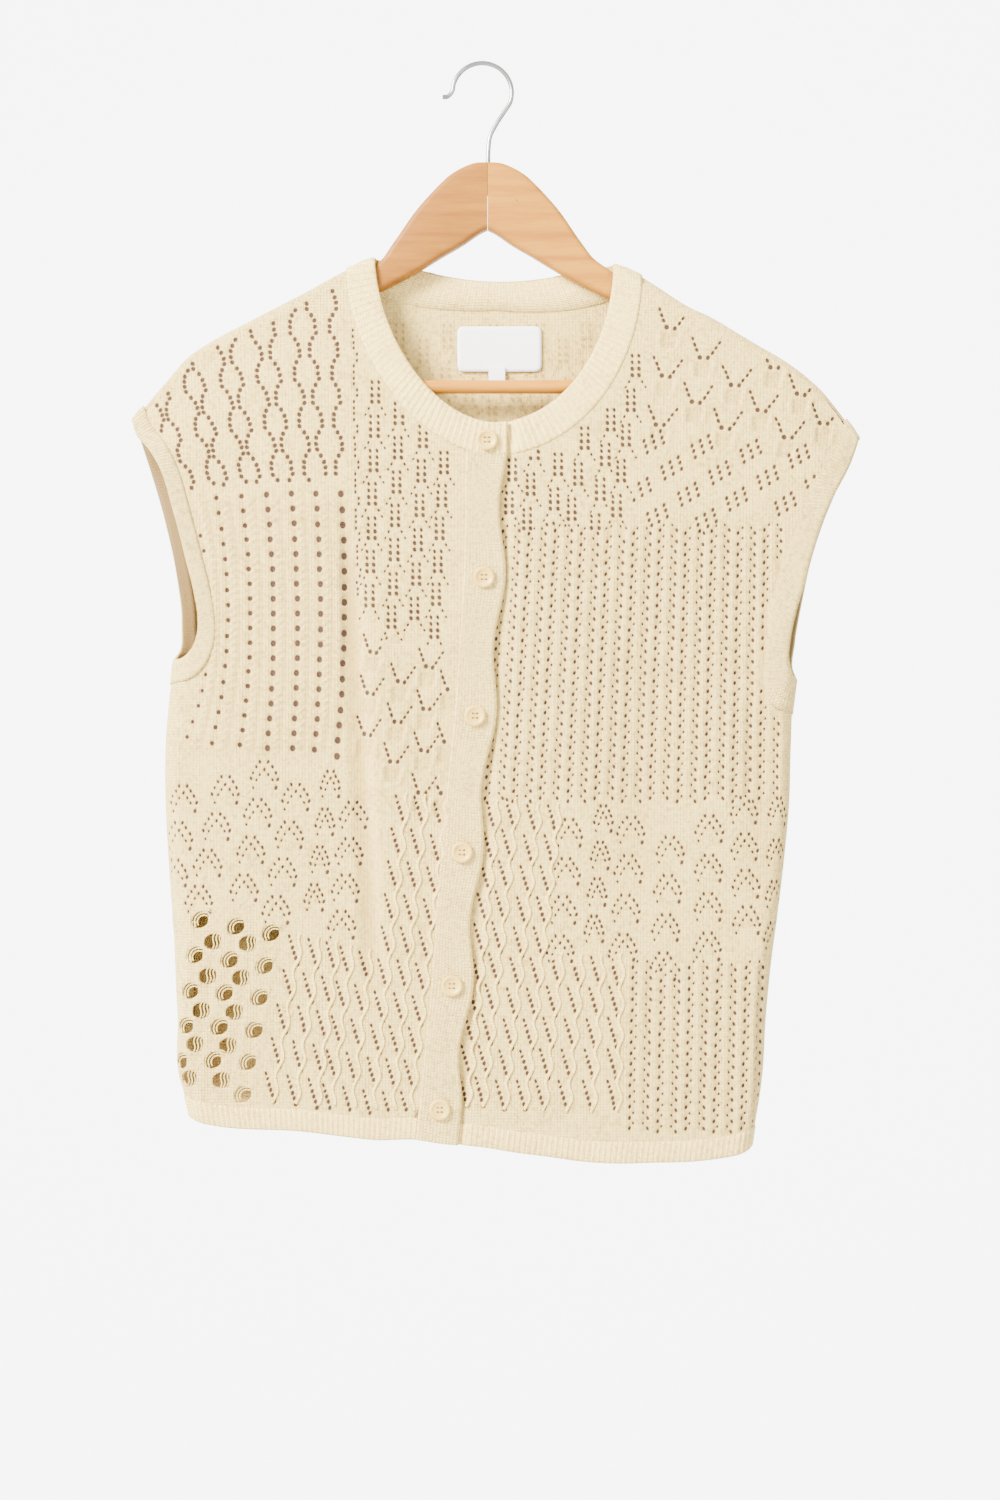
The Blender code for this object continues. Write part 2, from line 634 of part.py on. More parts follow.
def back_panel():
    """The back, from side to side, over the ridge to the shoulder seams."""
    sides = {}
    for hand in (LEFT, RIGHT):
        seam = arm_stations(ARM_SEAM[hand], hand, BACK)
        over = arm_stations(ARM_SEAM[hand], hand, FRONT)[1:CREST_STEPS]
        over_u, over_v = from_back(over[:, 0], over[:, 1])
        over_v[-1] += SHOULDER_GAP
        arm = np.concatenate([seam, np.stack([over_u, over_v], axis=1)])
        arm = clear_of_band(arm, hand)[1:]
        top_v = seam[0, 1] + ARM_GAP
        v = np.linspace(hem_low(outline(742.0, hand), BACK) - HEM_HEIGHT - HEM_GAP, top_v,
                        LOWER_ROWS - 1)
        side = np.stack([side_seam(v, hand) - hand * HALF_GAP, v], axis=1)
        sides[hand] = np.concatenate([side, arm])

    half_neck = {}
    for hand in (LEFT, RIGHT):
        rear = neck_edge(hand, NECK_WIDTH + NECK_GAP, 200, BACK)
        front = neck_edge(hand, NECK_WIDTH + NECK_GAP, 400, FRONT)
        near = front[:, 1] < shoulder_seam_v(front[:, 0])
        over = np.stack(from_back(front[near, 0], front[near, 1]), axis=1)[::-1]
        half_neck[hand] = np.concatenate([rear, over[1:]])
    columns_side = 8
    neck = {}
    for hand, line in half_neck.items():
        turns = line[:, 1] < ridge(line[:, 0]) + crest(line[:, 0])
        start = int(np.argmax(turns & (np.abs(line[:, 0] - NECK_X) > 60.0)))
        neck[hand] = np.concatenate([along(line[:start + 1], 5), along(line[start:], 4)[1:]])
    shoulder = {}
    for hand in (LEFT, RIGHT):
        start, end = neck[hand][-1], sides[hand][-1]
        u = np.linspace(start[0], end[0], columns_side + 1)
        seam_v = shoulder_seam_v(u)
        v = np.stack(from_back(u, seam_v), axis=1)[:, 1] + SHOULDER_GAP
        line = np.stack([u, v], axis=1)
        line[0], line[-1] = start, end
        shoulder[hand] = line
    top = np.concatenate([shoulder[LEFT][::-1], neck[LEFT][::-1][1:],
                          neck[RIGHT][1:], shoulder[RIGHT][1:]])
    count = len(top)
    turn = 0.048
    inner_count = count - 2 * TURN_COLUMNS
    columns = np.concatenate([np.linspace(0, turn, TURN_COLUMNS + 1)[:-1],
                              np.linspace(turn, 1 - turn, inner_count),
                              np.linspace(1 - turn, 1, TURN_COLUMNS + 1)[1:]])
    left, right = sides[LEFT], sides[RIGHT]
    bottom_x = left[0, 0] + (right[0, 0] - left[0, 0]) * columns
    view_x = np.clip(bottom_x, -206.0, 193.0)
    bottom = np.stack([bottom_x, hem_low(view_x, BACK) - HEM_HEIGHT - HEM_GAP], axis=1)
    bottom[0], bottom[-1] = left[0], right[0]
    waist = (LOWER_ROWS - 2) / (len(left) - 1)
    cloth = patch(bottom, top, left, right, columns, waist)
    u, v = cloth[..., 0], cloth[..., 1]
    face = np.full(u.shape, BACK)
    outer = sheet(u, v, face)
    inner = sheet(u, v, face, np.full(u.shape, -CLOTH))
    return wall("back", outer, plain_side(inner))


# ---------------------------------------------------------------- bands and ribs

def armhole_band(hand):
    """A folded band, one ring from the ridge down the front and up the back."""
    rings = {}
    for key, rows in (("edge", ARM_EDGE[hand]), ("seam", ARM_SEAM[hand])):
        front = arm_stations(rows, hand, FRONT)
        rear = arm_stations(rows, hand, BACK)
        rings[key] = ((front, FRONT), (rear, BACK))
    def strip(out):
        parts = []
        for k in (0, 1):
            edge, face = rings["edge"][k]
            seam = rings["seam"][k][0]
            middle_line = (edge + seam) / 2
            lines = np.stack([edge, middle_line, seam])
            parts.append(sheet(lines[..., 0], lines[..., 1], np.full(lines.shape[:2], face),
                               np.full(lines.shape[:2], out)))
        front, rear = parts
        return np.concatenate([front, rear[:, 1:]], axis=1)
    name = "armhole_band_right" if hand == LEFT else "armhole_band_left"
    outer = strip(OUTER_STAND)
    outer[:, -1] = outer[:, 0]
    inner = strip(-BAND_INSET)
    inner[:, -1] = inner[:, 0]
    return wall(name, outer, inner[::2], ring=True)


def stray(line, start, end):
    """How far a line's points stray from the chord between two of them."""
    chord = line[end] - line[start]
    between = line[start + 1:end] - line[start]
    return np.linalg.norm(np.cross(between, chord / np.linalg.norm(chord)), axis=1).max()


def plain_stations(lines, slack=0.25, longest=36.0):
    """The fewest stations along some lines side by side that still follow them all."""
    kept = [0]
    last = lines.shape[1] - 1
    while kept[-1] < last:
        start = kept[-1]
        best = start + 1
        for end in range(start + 2, last + 1):
            length = max(np.linalg.norm(line[end] - line[start]) for line in lines)
            if length > longest or max(stray(line, start, end) for line in lines) > slack:
                break
            best = end
        kept.append(best)
    return kept


def plain_side(points):
    """A coarser grid through the same surface, for the plain inner side of a wall."""
    rows, columns = points.shape[:2]
    some_rows = sorted({*range(0, rows, 3), rows - 1})
    some_columns = sorted({*range(0, columns, 3), columns - 1})
    kept_rows = plain_stations(points[:, some_columns].transpose(1, 0, 2), 0.7, 60.0)
    kept_columns = plain_stations(points[some_rows], 0.7, 60.0)
    return points[np.ix_(kept_rows, kept_columns)]


def ribs(count):
    """Alternate heights for count ribs: a furrow, then a crest."""
    height = np.zeros(2 * count + 1)
    height[1::2] = RELIEF
    return height


def front_band():
    """The upper front band, with the buttonholes, from neckband to hem."""
    rows = 30
    bottom = hem_low(band_middle(757.0), FRONT)
    top = neck_seam_drop(band_middle(280.0))
    drops = np.linspace(bottom, top, rows + 1)
    left = band_middle(drops) - BAND_HALF
    right = band_edge(drops)
    across = np.linspace(0.0, 1.0, 3)[None, :]
    u = left[:, None] + (right - left)[:, None] * across
    v = np.repeat(drops[:, None], 3, axis=1)
    v[-1] = neck_seam_drop(u[-1])
    face = np.full(u.shape, FRONT)
    outer = sheet(u, v, face, np.full(u.shape, OUTER_STAND))
    inner = sheet(u, v, face, np.full(u.shape, OUTER_STAND - 2.4))
    return wall("buttonhole_band", outer, inner)


def under_band():
    """The lower front band, which carries the buttons, behind the upper one."""
    rows = 20
    bottom = hem_low(band_middle(757.0), FRONT) - 2.0
    drops = np.linspace(bottom, neck_seam_drop(band_middle(280.0)), rows + 1)
    across = np.linspace(UNDER_LEFT, UNDER_RIGHT, 3)[None, :]
    u = band_middle(drops)[:, None] + across
    v = np.repeat(drops[:, None], 3, axis=1)
    v[-1] = neck_seam_drop(u[-1]) + 0.3
    face = np.full(u.shape, FRONT)
    outer = sheet(u, v, face, np.full(u.shape, OUTER_STAND - LAP))
    inner = sheet(u, v, face, np.full(u.shape, OUTER_STAND - LAP - 2.2))
    return wall("button_band", outer, inner)


def neck_seam_drop(x):
    """Lower edge of the neckband near the centre front."""
    ring = np.concatenate([neck_edge(LEFT, NECK_WIDTH, 200, FRONT)[::-1],
                           neck_edge(RIGHT, NECK_WIDTH, 200, FRONT)[1:]])
    return np.interp(x, ring[:, 0], ring[:, 1]) + NECK_GAP


def neckband():
    """The ribbed neckband: one strip, its left end lapped over its right end."""
    dense = 300
    parts = []
    for widen in (0.0, NECK_WIDTH):
        start = neck_edge(RIGHT, widen, dense, FRONT)
        lead = start[start[:, 0] < band_edge(267.0)][::-1]
        left = neck_edge(LEFT, widen, dense, FRONT)[1:]
        back_left = neck_edge(LEFT, widen, dense, BACK)[::-1][1:]
        back_right = neck_edge(RIGHT, widen, dense, BACK)[1:]
        right = start[::-1][1:]
        under = left[left[:, 0] > -9.0]
        pieces = [(lead, FRONT, 0), (left, FRONT, 0), (back_left, BACK, 0),
                  (back_right, BACK, 0), (right, FRONT, 1), (under, FRONT, 1)]
        parts.append(pieces)
    count = 136

    def strip(out, columns):
        across = []
        for mix in (0.0, 0.5, 1.0):
            line = []
            for (edge, face, sunk), (seam, _, _) in zip(*parts):
                size = max(len(edge), len(seam))
                pair = (along(edge, size), along(seam, size))
                place = pair[0] * (1 - mix) + pair[1] * mix
                depth = lap(place[:, 0], place[:, 1], NECK_LAP) if sunk else 0.0
                lift = np.zeros(len(place)) + out + depth
                line.append(sheet(place[:, 0], place[:, 1], np.full(len(place), face), lift))
            joined = np.concatenate(line)
            across.append(along(joined, columns))
        return np.stack(across)
    base = strip(0.0, 2 * count)
    crown = strip(1.0, 2 * count)
    outward = crown - base
    outward /= np.linalg.norm(outward, axis=-1, keepdims=True)
    outer = base + outward * ribs(count)[None, :, None]
    inner = base - outward * BAND_INSET
    return wall("neckband", outer, inner[:, plain_stations(inner)], ribbed=True)


def hem_rib(name, start, end, face, under=False):
    """A stretch of ribbed hem between two edges, each with its upper and lower place."""
    count = round(abs(end[0] - start[0]) / RIB_PITCH)

    across = np.linspace(0.0, 1.0, 2 * count + 1)[None]
    start, end = np.array(start)[:, None], np.array(end)[:, None]
    u = start + (end - start) * across
    low = hem_low(np.clip(u[1], -206.0, 193.0), face)
    v = np.stack([low - HEM_HEIGHT, low])
    sunk = lap(u, v, LAP) if under else np.zeros(u.shape)
    faces = np.full(u.shape, face)
    outer = sheet(u, v, faces, ribs(count)[None] + sunk)
    inner = sheet(u, v, faces, sunk - CLOTH)
    return wall(name, outer, inner[:, plain_stations(inner)], ribbed=True)


# ---------------------------------------------------------------- label, buttons, hanger

def patch_wall(name, centre_x, width, top, height, face, inset, thick):
    """A small flat piece that lies on the inner side of the cloth."""
    u, v = np.meshgrid(np.linspace(-0.5, 0.5, 5) * width + centre_x,
                       np.linspace(top + height, top, 4))
    where = np.full(u.shape, face)
    outer = sheet(u, v, where, np.full(u.shape, -inset))
    inner = sheet(u, v, where, np.full(u.shape, -inset - thick))
    return wall(name, outer, inner, "label")


def button_mesh():
    """A turned button with a raised rim, a shallow dish and four sewing holes."""
    sides = 14
    profile = ((7.0, 0.0), (BUTTON_RADIUS, 0.7), (BUTTON_RADIUS, 2.0), (6.7, BUTTON_THICK),
               (5.7, BUTTON_THICK - 0.3), (4.8, BUTTON_THICK - 0.9))
    bm = bmesh.new()
    rings = []
    for radius, height in profile:
        rings.append([bm.verts.new((radius * math.cos(math.tau * k / sides) * MM,
                                    -height * MM,
                                    radius * math.sin(math.tau * k / sides) * MM))
                      for k in range(sides)])
    for low, high in zip(rings, rings[1:]):
        for k in range(sides):
            n = (k + 1) % sides
            bm.faces.new((low[k], low[n], high[n], high[k]))
    bm.faces.new(rings[0])
    bm.faces.new(rings[-1])
    bmesh.ops.recalc_face_normals(bm, faces=bm.faces)
    mesh = bpy.data.meshes.new("button")
    bm.to_mesh(mesh)
    bm.free()
    mesh.materials.append(material("button"))
    return mesh


def sewing_holes():
    """The cutter for a button's four holes."""
    bm = bmesh.new()
    spacing, radius = 1.35, 0.75
    for k in range(4):
        angle = math.radians(45 + 90 * k)
        x, z = 1.414 * spacing * math.cos(angle), 1.414 * spacing * math.sin(angle)
        rows = []
        for y in (-BUTTON_THICK - 1.0, 1.0):
            rows.append([bm.verts.new(((x + radius * math.cos(math.tau * n / 6)) * MM, y * MM,
                                       (z + radius * math.sin(math.tau * n / 6)) * MM))
                         for n in range(6)])
        for n in range(6):
            m = (n + 1) % 6
            bm.faces.new((rows[0][n], rows[0][m], rows[1][m], rows[1][n]))
        bm.faces.new(rows[0])
        bm.faces.new(rows[1])
    bmesh.ops.recalc_face_normals(bm, faces=bm.faces)
    mesh = bpy.data.meshes.new("sewing_holes")
    bm.to_mesh(mesh)
    bm.free()
    cutter = bpy.data.objects.new("sewing_holes", mesh)
    bpy.context.scene.collection.objects.link(cutter)
    return cutter


def buttons():
    mesh = button_mesh()
    for k, (x, drop) in enumerate(zip(BUTTONS.x, BUTTONS.drop)):
        stand = (RELIEF if k == 0 else OUTER_STAND) + GAP + 0.1
        place = sheet(np.array([x]), np.array([drop]), np.array([FRONT]), np.array([stand]))[0]
        made = bpy.data.objects.new(f"button_{k + 1}", mesh)
        bpy.context.scene.collection.objects.link(made)
        made.location = place * MM
        cutter = sewing_holes()
        cutter.location = place * MM
        subtract(made, cutter)


def arm_outline(hand):
    """One wooden half seen from the front: hump at the middle, arm, foot for the bar."""
    top = [(HANGER_X + hand * x, drop) for x, drop in zip(HUMP.x, HUMP.drop)]
    top += [(HANGER_X + hand * x, drop) for x, drop in HUMP_END[hand]]
    for reach in (96, 110, 130, 150, 170, 190, 203):
        x = HANGER_X + hand * reach
        top.append((x, float(ridge(x)) + WOOD_BELOW))
    end = float(ridge(HANGER_X + hand * 203)) + WOOD_BELOW
    tip = [(HANGER_X + hand * (ARM_REACH - 2), end + 7), (HANGER_X + hand * ARM_REACH, end + 16),
           (HANGER_X + hand * (ARM_REACH - 2), end + 25),
           (HANGER_X + hand * (ARM_REACH - 8), end + 31),
           (HANGER_X + hand * FOOT_X, end + 33)]
    foot_x = HANGER_X + hand * FOOT_X
    inner_top = float(ridge(foot_x)) + WOOD_BELOW + 21.0
    under = [(foot_x, inner_top)]
    for reach in (165, 140, 115, 92):
        x = HANGER_X + hand * reach
        under.append((x, float(ridge(x)) + WOOD_BELOW + 22.0))
    belly = table("x drop", (75, 160), (60, 152.5), (45, 144), (32, 136), (16, 126.5),
                  (5, 119), (0, 116.5))
    under += [(HANGER_X + hand * x, drop) for x, drop in zip(belly.x, belly.drop)]
    return top + tip + under


def hanger_arm(hand):
    """A wooden half: its outline, rounded at its long edges, swept forward."""
    points = np.array(arm_outline(hand))
    points[:, 0] += hand * np.where(np.abs(points[:, 0] - HANGER_X) < 0.01, HALF_GAP, 0.0)
    # inset outline for the rounded faces
    count = len(points)
    before, after = np.roll(points, 1, axis=0), np.roll(points, -1, axis=0)
    tangent = after - before
    tangent /= np.linalg.norm(tangent, axis=1, keepdims=True)
    inward = np.stack([-tangent[:, 1], tangent[:, 0]], axis=1) * hand
    at_joint = np.abs(points[:, 0] - HANGER_X) < 1.0
    inward[at_joint] = [[0.0, 1.0], [0.0, -1.0]]
    rings = []
    steps = ((1.0, 0.0), (0.29, 0.29), (0.0, 1.0))
    for inset, back in steps:
        rings.append((points + inward * WOOD_ROUND * inset,
                      -(WOOD_HALF - WOOD_ROUND * back)))
    for inset, back in steps[::-1]:
        rings.append((points + inward * WOOD_ROUND * inset,
                      WOOD_HALF - WOOD_ROUND * back))
    bm = bmesh.new()
    loops = []
    for outline_points, y in rings:
        sweep = forward_sweep(outline_points[:, 0])
        loops.append([bm.verts.new((x * MM, (y + s) * MM, -drop * MM))
                      for (x, drop), s in zip(outline_points, sweep)])
    for low, high in zip(loops, loops[1:]):
        for k in range(count):
            n = (k + 1) % count
            bm.faces.new((low[k], low[n], high[n], high[k]))
    for loop, (outline_points, _) in zip((loops[0], loops[-1]), (rings[0], rings[-1])):
        drawn = [Vector((x, -drop, 0.0)) for x, drop in outline_points]
        for corners in tessellate_polygon([drawn]):
            bm.faces.new([loop[k] for k in corners])
    name, colour = (("hanger_arm_right", "wood_right") if hand == LEFT
                    else ("hanger_arm_left", "wood_left"))
    made = finish(name, bm, colour)
    subtract(made, shank_cutter())
    return made


def tube(name, line, radius, sides, finish_name):
    """A round rod along a line of points, closed at both ends."""
    line = np.asarray(line, float)
    bm = bmesh.new()
    tangent = np.gradient(line, axis=0)
    tangent /= np.linalg.norm(tangent, axis=1, keepdims=True)
    loops = []
    for point, forward in zip(line, tangent):
        side = np.cross(forward, (0.0, 1.0, 0.0))
        if np.linalg.norm(side) < 0.1:
            side = np.array((0.0, 0.0, 1.0))
        side /= np.linalg.norm(side)
        up = np.cross(side, forward)
        loops.append([bm.verts.new((point + radius * (math.cos(math.tau * k / sides) * side
                                                      + math.sin(math.tau * k / sides) * up))
                                   * MM) for k in range(sides)])
    for low, high in zip(loops, loops[1:]):
        for k in range(sides):
            n = (k + 1) % sides
            bm.faces.new((low[k], low[n], high[n], high[k]))
    bm.faces.new(loops[0])
    bm.faces.new(loops[-1])
    return finish(name, bm, finish_name)


def shank_cutter():
    """The hole in the wood for the hook's shank."""
    line = [(4.2, 0.0, -60.0), (4.2, 0.0, -96.0)]
    cutter = tube("shank_hole", line, HOOK_WIRE + GAP + 0.15, 10, "steel")
    return cutter


def hanger_hook():
    """The hook: up out of the wood, across, round over the top to a flared tip."""
    centre = np.array([0.0, -(HOOK_RADIUS - HOOK_WIRE)])
    arc = [(centre[0] + HOOK_RADIUS * math.cos(math.radians(a)),
            centre[1] + HOOK_RADIUS * math.sin(math.radians(a)))
           for a in range(-16, 177, 12)]
    lower = [(4.2, -92.0), (4.2, -84.0), (4.2, -72.0), (4.4, -60.0), (5.6, -50.5),
             (10.0, -41.5), (15.2, -33.5)]
    tip = [(-22.6, -20.5), (-25.0, -22.3), (-28.0, -22.2)]
    route = np.array([(x, 0.0, z) for x, z in lower + arc + tip])
    line = spline(route, 33)
    return tube("hanger_hook", line, HOOK_WIRE, 8, "steel")


def hanger_bar():
    """The round bar between the feet of the arms."""
    y = -SWEEP * FOOT_X
    half = FOOT_X - GAP - 0.1
    line = [(HANGER_X - half, y, -BAR_DROP), (HANGER_X, y, -BAR_DROP),
            (HANGER_X + half, y, -BAR_DROP)]
    return tube("hanger_bar", line, BAR_RADIUS, 12, "wood_bar")


def trellis_spots():
    """The middles of the trellis's openings, as seen, clear of the side and the hem."""
    corners = np.stack([TRELLIS.x, TRELLIS.drop], axis=1)

    def place(i, j):
        a, b = i / TRELLIS_COLUMNS, j / TRELLIS_ROWS
        top = corners[0] * (1 - a) + corners[1] * a
        low = corners[2] * (1 - a) + corners[3] * a
        return top * (1 - b) + low * b

    spots = [place(i, j) for i in range(TRELLIS_COLUMNS + 1) for j in range(TRELLIS_ROWS + 1)]
    di, dj = TRELLIS_HALF_DROP
    spots += [place(i + di, j + dj) for i in range(TRELLIS_COLUMNS) for j in range(TRELLIS_ROWS)]
    lowest = [hem_low(x, FRONT) - HEM_HEIGHT - OPENING_RADII[1] - TRELLIS_SILL for x, _ in spots]
    return [(x, drop) for (x, drop), low in zip(spots, lowest) if x > TRELLIS_EDGE and drop < low]


def trellis_openings(panel):
    """Cut the open trellis through the lower corner of the right front."""
    bm = bmesh.new()
    turns = [math.tau * k / OPENING_SIDES for k in range(OPENING_SIDES)]
    for x, drop in trellis_spots():
        rim = [(x + OPENING_RADII[0] * math.cos(t), -drop + OPENING_RADII[1] * math.sin(t))
               for t in turns]
        near, far = [[bm.verts.new((px * MM, y * MM, pz * MM)) for px, pz in rim]
                     for y in (-34.0, -8.0)]
        for k in range(OPENING_SIDES):
            n = (k + 1) % OPENING_SIDES
            bm.faces.new((near[k], near[n], far[n], far[k]))
        bm.faces.new(near)
        bm.faces.new(far)
    cutter = finish("trellis_openings", bm, "knit")
    subtract(panel, cutter)


def build():
    clear_scene()
    right = front_panel(LEFT)
    trellis_openings(right)
    front_panel(RIGHT)
    back_panel()
    for hand in (LEFT, RIGHT):
        armhole_band(hand)
        hanger_arm(hand)
    neckband()
    front_band()
    under_band()
    left_side = [side_seam(drop, LEFT) + HALF_GAP for drop in (728.0, 743.0)]
    right_side = [side_seam(drop, RIGHT) - HALF_GAP for drop in (750.0, 765.0)]
    band_left = [band_middle(drop) - BAND_HALF - HEM_GAP for drop in (742.0, 757.0)]
    under_right = [band_middle(drop) + UNDER_RIGHT + HEM_GAP for drop in (745.0, 760.0)]
    hem_rib("hem_rib_front_right", band_left, left_side, FRONT)
    hem_rib("hem_rib_front_left", under_right, right_side, FRONT, under=True)
    hem_rib("hem_rib_back", left_side, right_side, BACK)
    buttons()
    patch_wall("neck_label", 12.2, 60.0, 182.6, 32.0, BACK, CLOTH + 0.4, 1.0)
    patch_wall("size_tab", 10.5, 11.8, 211.0, 12.6, BACK, CLOTH + 1.8, 1.0)
    hanger_bar()
    hanger_hook()


build()
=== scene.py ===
# %% [markdown]
# # A sleeveless lace cardigan on a wooden hanger
#
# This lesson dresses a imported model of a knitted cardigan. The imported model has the
# right sizes but a plain surface. Here each piece of cloth gets its stitches, eyelets,
# cords and ribs, the buttons get their thread, and the hanger its grain.
#
# Sizes are in millimetres until a mesh is made. A place on the garment is written as
# the viewer sees it: x to the right and drop downwards, both from the inner top of the
# hook, and y away from the viewer.

# %% Load the frame
import json
import math
from types import SimpleNamespace

import bmesh
import bpy
import numpy as np
from mathutils import Matrix, Vector

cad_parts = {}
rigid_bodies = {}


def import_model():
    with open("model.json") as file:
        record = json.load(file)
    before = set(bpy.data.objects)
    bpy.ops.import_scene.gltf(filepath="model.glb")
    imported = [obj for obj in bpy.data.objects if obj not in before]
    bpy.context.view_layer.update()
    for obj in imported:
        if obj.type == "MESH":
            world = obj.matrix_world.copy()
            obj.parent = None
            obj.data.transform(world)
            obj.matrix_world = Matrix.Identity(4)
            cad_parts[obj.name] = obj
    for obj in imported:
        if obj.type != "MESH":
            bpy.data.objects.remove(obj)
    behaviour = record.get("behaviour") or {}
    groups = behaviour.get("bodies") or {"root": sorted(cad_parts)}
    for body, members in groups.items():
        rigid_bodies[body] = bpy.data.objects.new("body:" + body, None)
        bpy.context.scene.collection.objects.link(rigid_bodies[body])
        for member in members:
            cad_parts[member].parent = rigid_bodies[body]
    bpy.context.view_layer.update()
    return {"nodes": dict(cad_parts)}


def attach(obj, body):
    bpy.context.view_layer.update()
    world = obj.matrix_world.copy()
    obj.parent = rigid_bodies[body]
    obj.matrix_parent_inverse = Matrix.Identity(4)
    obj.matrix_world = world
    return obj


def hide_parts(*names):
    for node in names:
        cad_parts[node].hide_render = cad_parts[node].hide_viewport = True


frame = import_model()
MM = 0.001
BODY = "root"
FRONT, BACK = -1.0, 1.0
LEFT, RIGHT = -1.0, 1.0         # the viewer's left and right
QUARTER = math.pi / 2
print("nodes in the frame:", len(frame["nodes"]))

# %% [markdown]
# ## The sizes of the garment
#
# A knitted garment on a hanger is nearly flat: two layers that meet at the sides and
# over the shoulders. A few lines measured on the real thing are enough to give its
# form. They could be drawn as curves by hand, but short tables keep every number where
# a reader can find it. They are the tables that the solids were made from, apart from the
# first soft fold, which is narrower, longer and deeper here. Away from that fold the fine
# cloth follows the solid.

# %% Sizes and short tables
SIDE_ROUND = 14.0               # how far in from the outline the side turns to the back
SHOULDER_SEAM = 7.0             # how far below the ridge the shoulder seam runs
CREST = 9.2                     # radius of the cloth over the hanger's arm
TIP_CREST = 6.0                 # and out at the shoulder tip, past the arm's end
CREST_FADE = 34.0               # over this length past the arm's end
SIDE_FLARE = 20.0               # the outline is taken this much further out at the top
FLARE_TOP, FLARE_FADE = 255.0, 150.0    # from this drop that fades, over this length
DEPTH_FADE = 70.0               # from the ridge down to the body's own depth
FOLD_FADE = 30.0                # from the ridge down to where a soft fold is full
NECK_WIDTH = 19.0
NECK_WIDTH_FRONT = 22.0
HEM_HEIGHT = 15.0
BAND_HALF = 14.5
SCALLOP = 5.5                   # how far the edge pulls in between two buttons
LAP = 3.2                       # how far the under layer lies behind the upper one
NECK_LAP = 3.8
NECK_STAND = 4.0                # the back of the neck stands off the hanger's middle
UNDER_LEFT, UNDER_RIGHT = -12.0, 6.0
HANGER_X = 3.8
ARM_REACH = 212.0
SWEEP, SWEEP_SOFT = 0.03, 20.0  # the arms come forward by this share of their length
SWEEP_TOP, SWEEP_FADE = 240.0, 450.0    # the cloth below them does so by half as much
NECK_X, NECK_HALF = 8.5, 84.5
NECK_FRONT_DROP, NECK_BACK_DIP = 255.0, 13.5
NECK_POWER = {LEFT: 1.8, RIGHT: 2.0}
NECK_BACK_POWER = 1.4
NECK_SEAM_POWER = 1.2
NECK_SPARE, NECK_FADE = 1.5, 14.0       # past the neck's edge; the stand fades over this
BAND_LEAN = 0.1                 # of the front band, below the last button
BAND_TOP, BAND_LOW = 280.0, 757.0
LAP_FADE = 8.0                  # over this width the under front comes forward again
HEM_FROM, HEM_TO = -206.0, 193.0
HEM_SIDE_DROP, HEM_CENTRE_DROP = 730.0, 745.0
TUCK_FROM, TUCK_WIDTH, TUCK = -205.0, 395.0, 3.5    # the hem is a little higher at the back
RIB_PITCH = 3.7
RIB_HEIGHT = 0.9
VALLEY = 0.14                   # share of shadow between two ribs


def table(names, *rows):
    """A short table: one array for each named column."""
    return SimpleNamespace(**dict(zip(names.split(), np.array(rows, float).T)))


SIDES = table("drop left right",
              (250, -246, 266), (285, -238, 257), (321, -229, 243), (357, -222, 235),
              (392, -217.5, 228), (426, -217.5, 223), (446, -220, 219.5),
              (484, -223, 217.5), (520, -223, 216.5), (560, -221, 213), (602, -218, 208),
              (632, -216, 204), (673, -214.5, 200), (714, -213, 197.5), (732, -208, 195),
              (748, -205, 192), (770, -204, 189))
RIDGE = table("x drop",
              (-246.2, 252), (-224, 226), (-206.6, 206.5), (-196, 199), (-164, 181.3),
              (-129, 163), (-92, 143), (-79, 137.5), (-60, 136), (0, 138), (75, 139.5),
              (94, 141.5), (109, 147.4), (122, 155.5), (146, 171), (162, 178.6),
              (177, 187.6), (194, 198), (211, 208), (227, 219.5), (240, 231.5),
              (252, 246.4), (266, 266))
DEPTH = table("drop half",
              (130, 11), (200, 12.5), (230, 13.5), (330, 13.5), (430, 13.5), (520, 15),
              (640, 18), (775, 20))
HEM = table("x drop",
            (-210, 741), (-182, 746.5), (-125, 750), (-93, 754), (-75, 756), (-45, 756),
            (-29, 758.5), (0, 761.2), (22, 764.7), (44, 767.5), (74, 771.4), (97, 772.4),
            (119, 771.7), (149, 770.7), (175, 767), (192, 763))
BUTTONS = table("x drop",
                (3.5, 267), (1.4, 363), (-4.9, 460), (-14, 555.5), (-21, 648.5),
                (-29.4, 734.6))
FOLDS = table("face x_top drop_top x_low drop_low half_width height",
              (FRONT, -97, 285, -73, 690, 6, -4.8),
              (FRONT, -72, 330, -66, 640, 16, 2.0),
              (FRONT, 104, 380, 110, 610, 22, -2.5),
              (FRONT, 192, 440, 199, 600, 12, -3.0),
              (FRONT, -160, 400, -176, 700, 26, 1.8),
              (FRONT, 150, 620, 146, 770, 24, 2.0),
              (BACK, -120, 330, -128, 700, 20, -3.0),
              (BACK, 10, 300, 16, 720, 30, 2.5),
              (BACK, 128, 400, 138, 740, 18, -2.5))
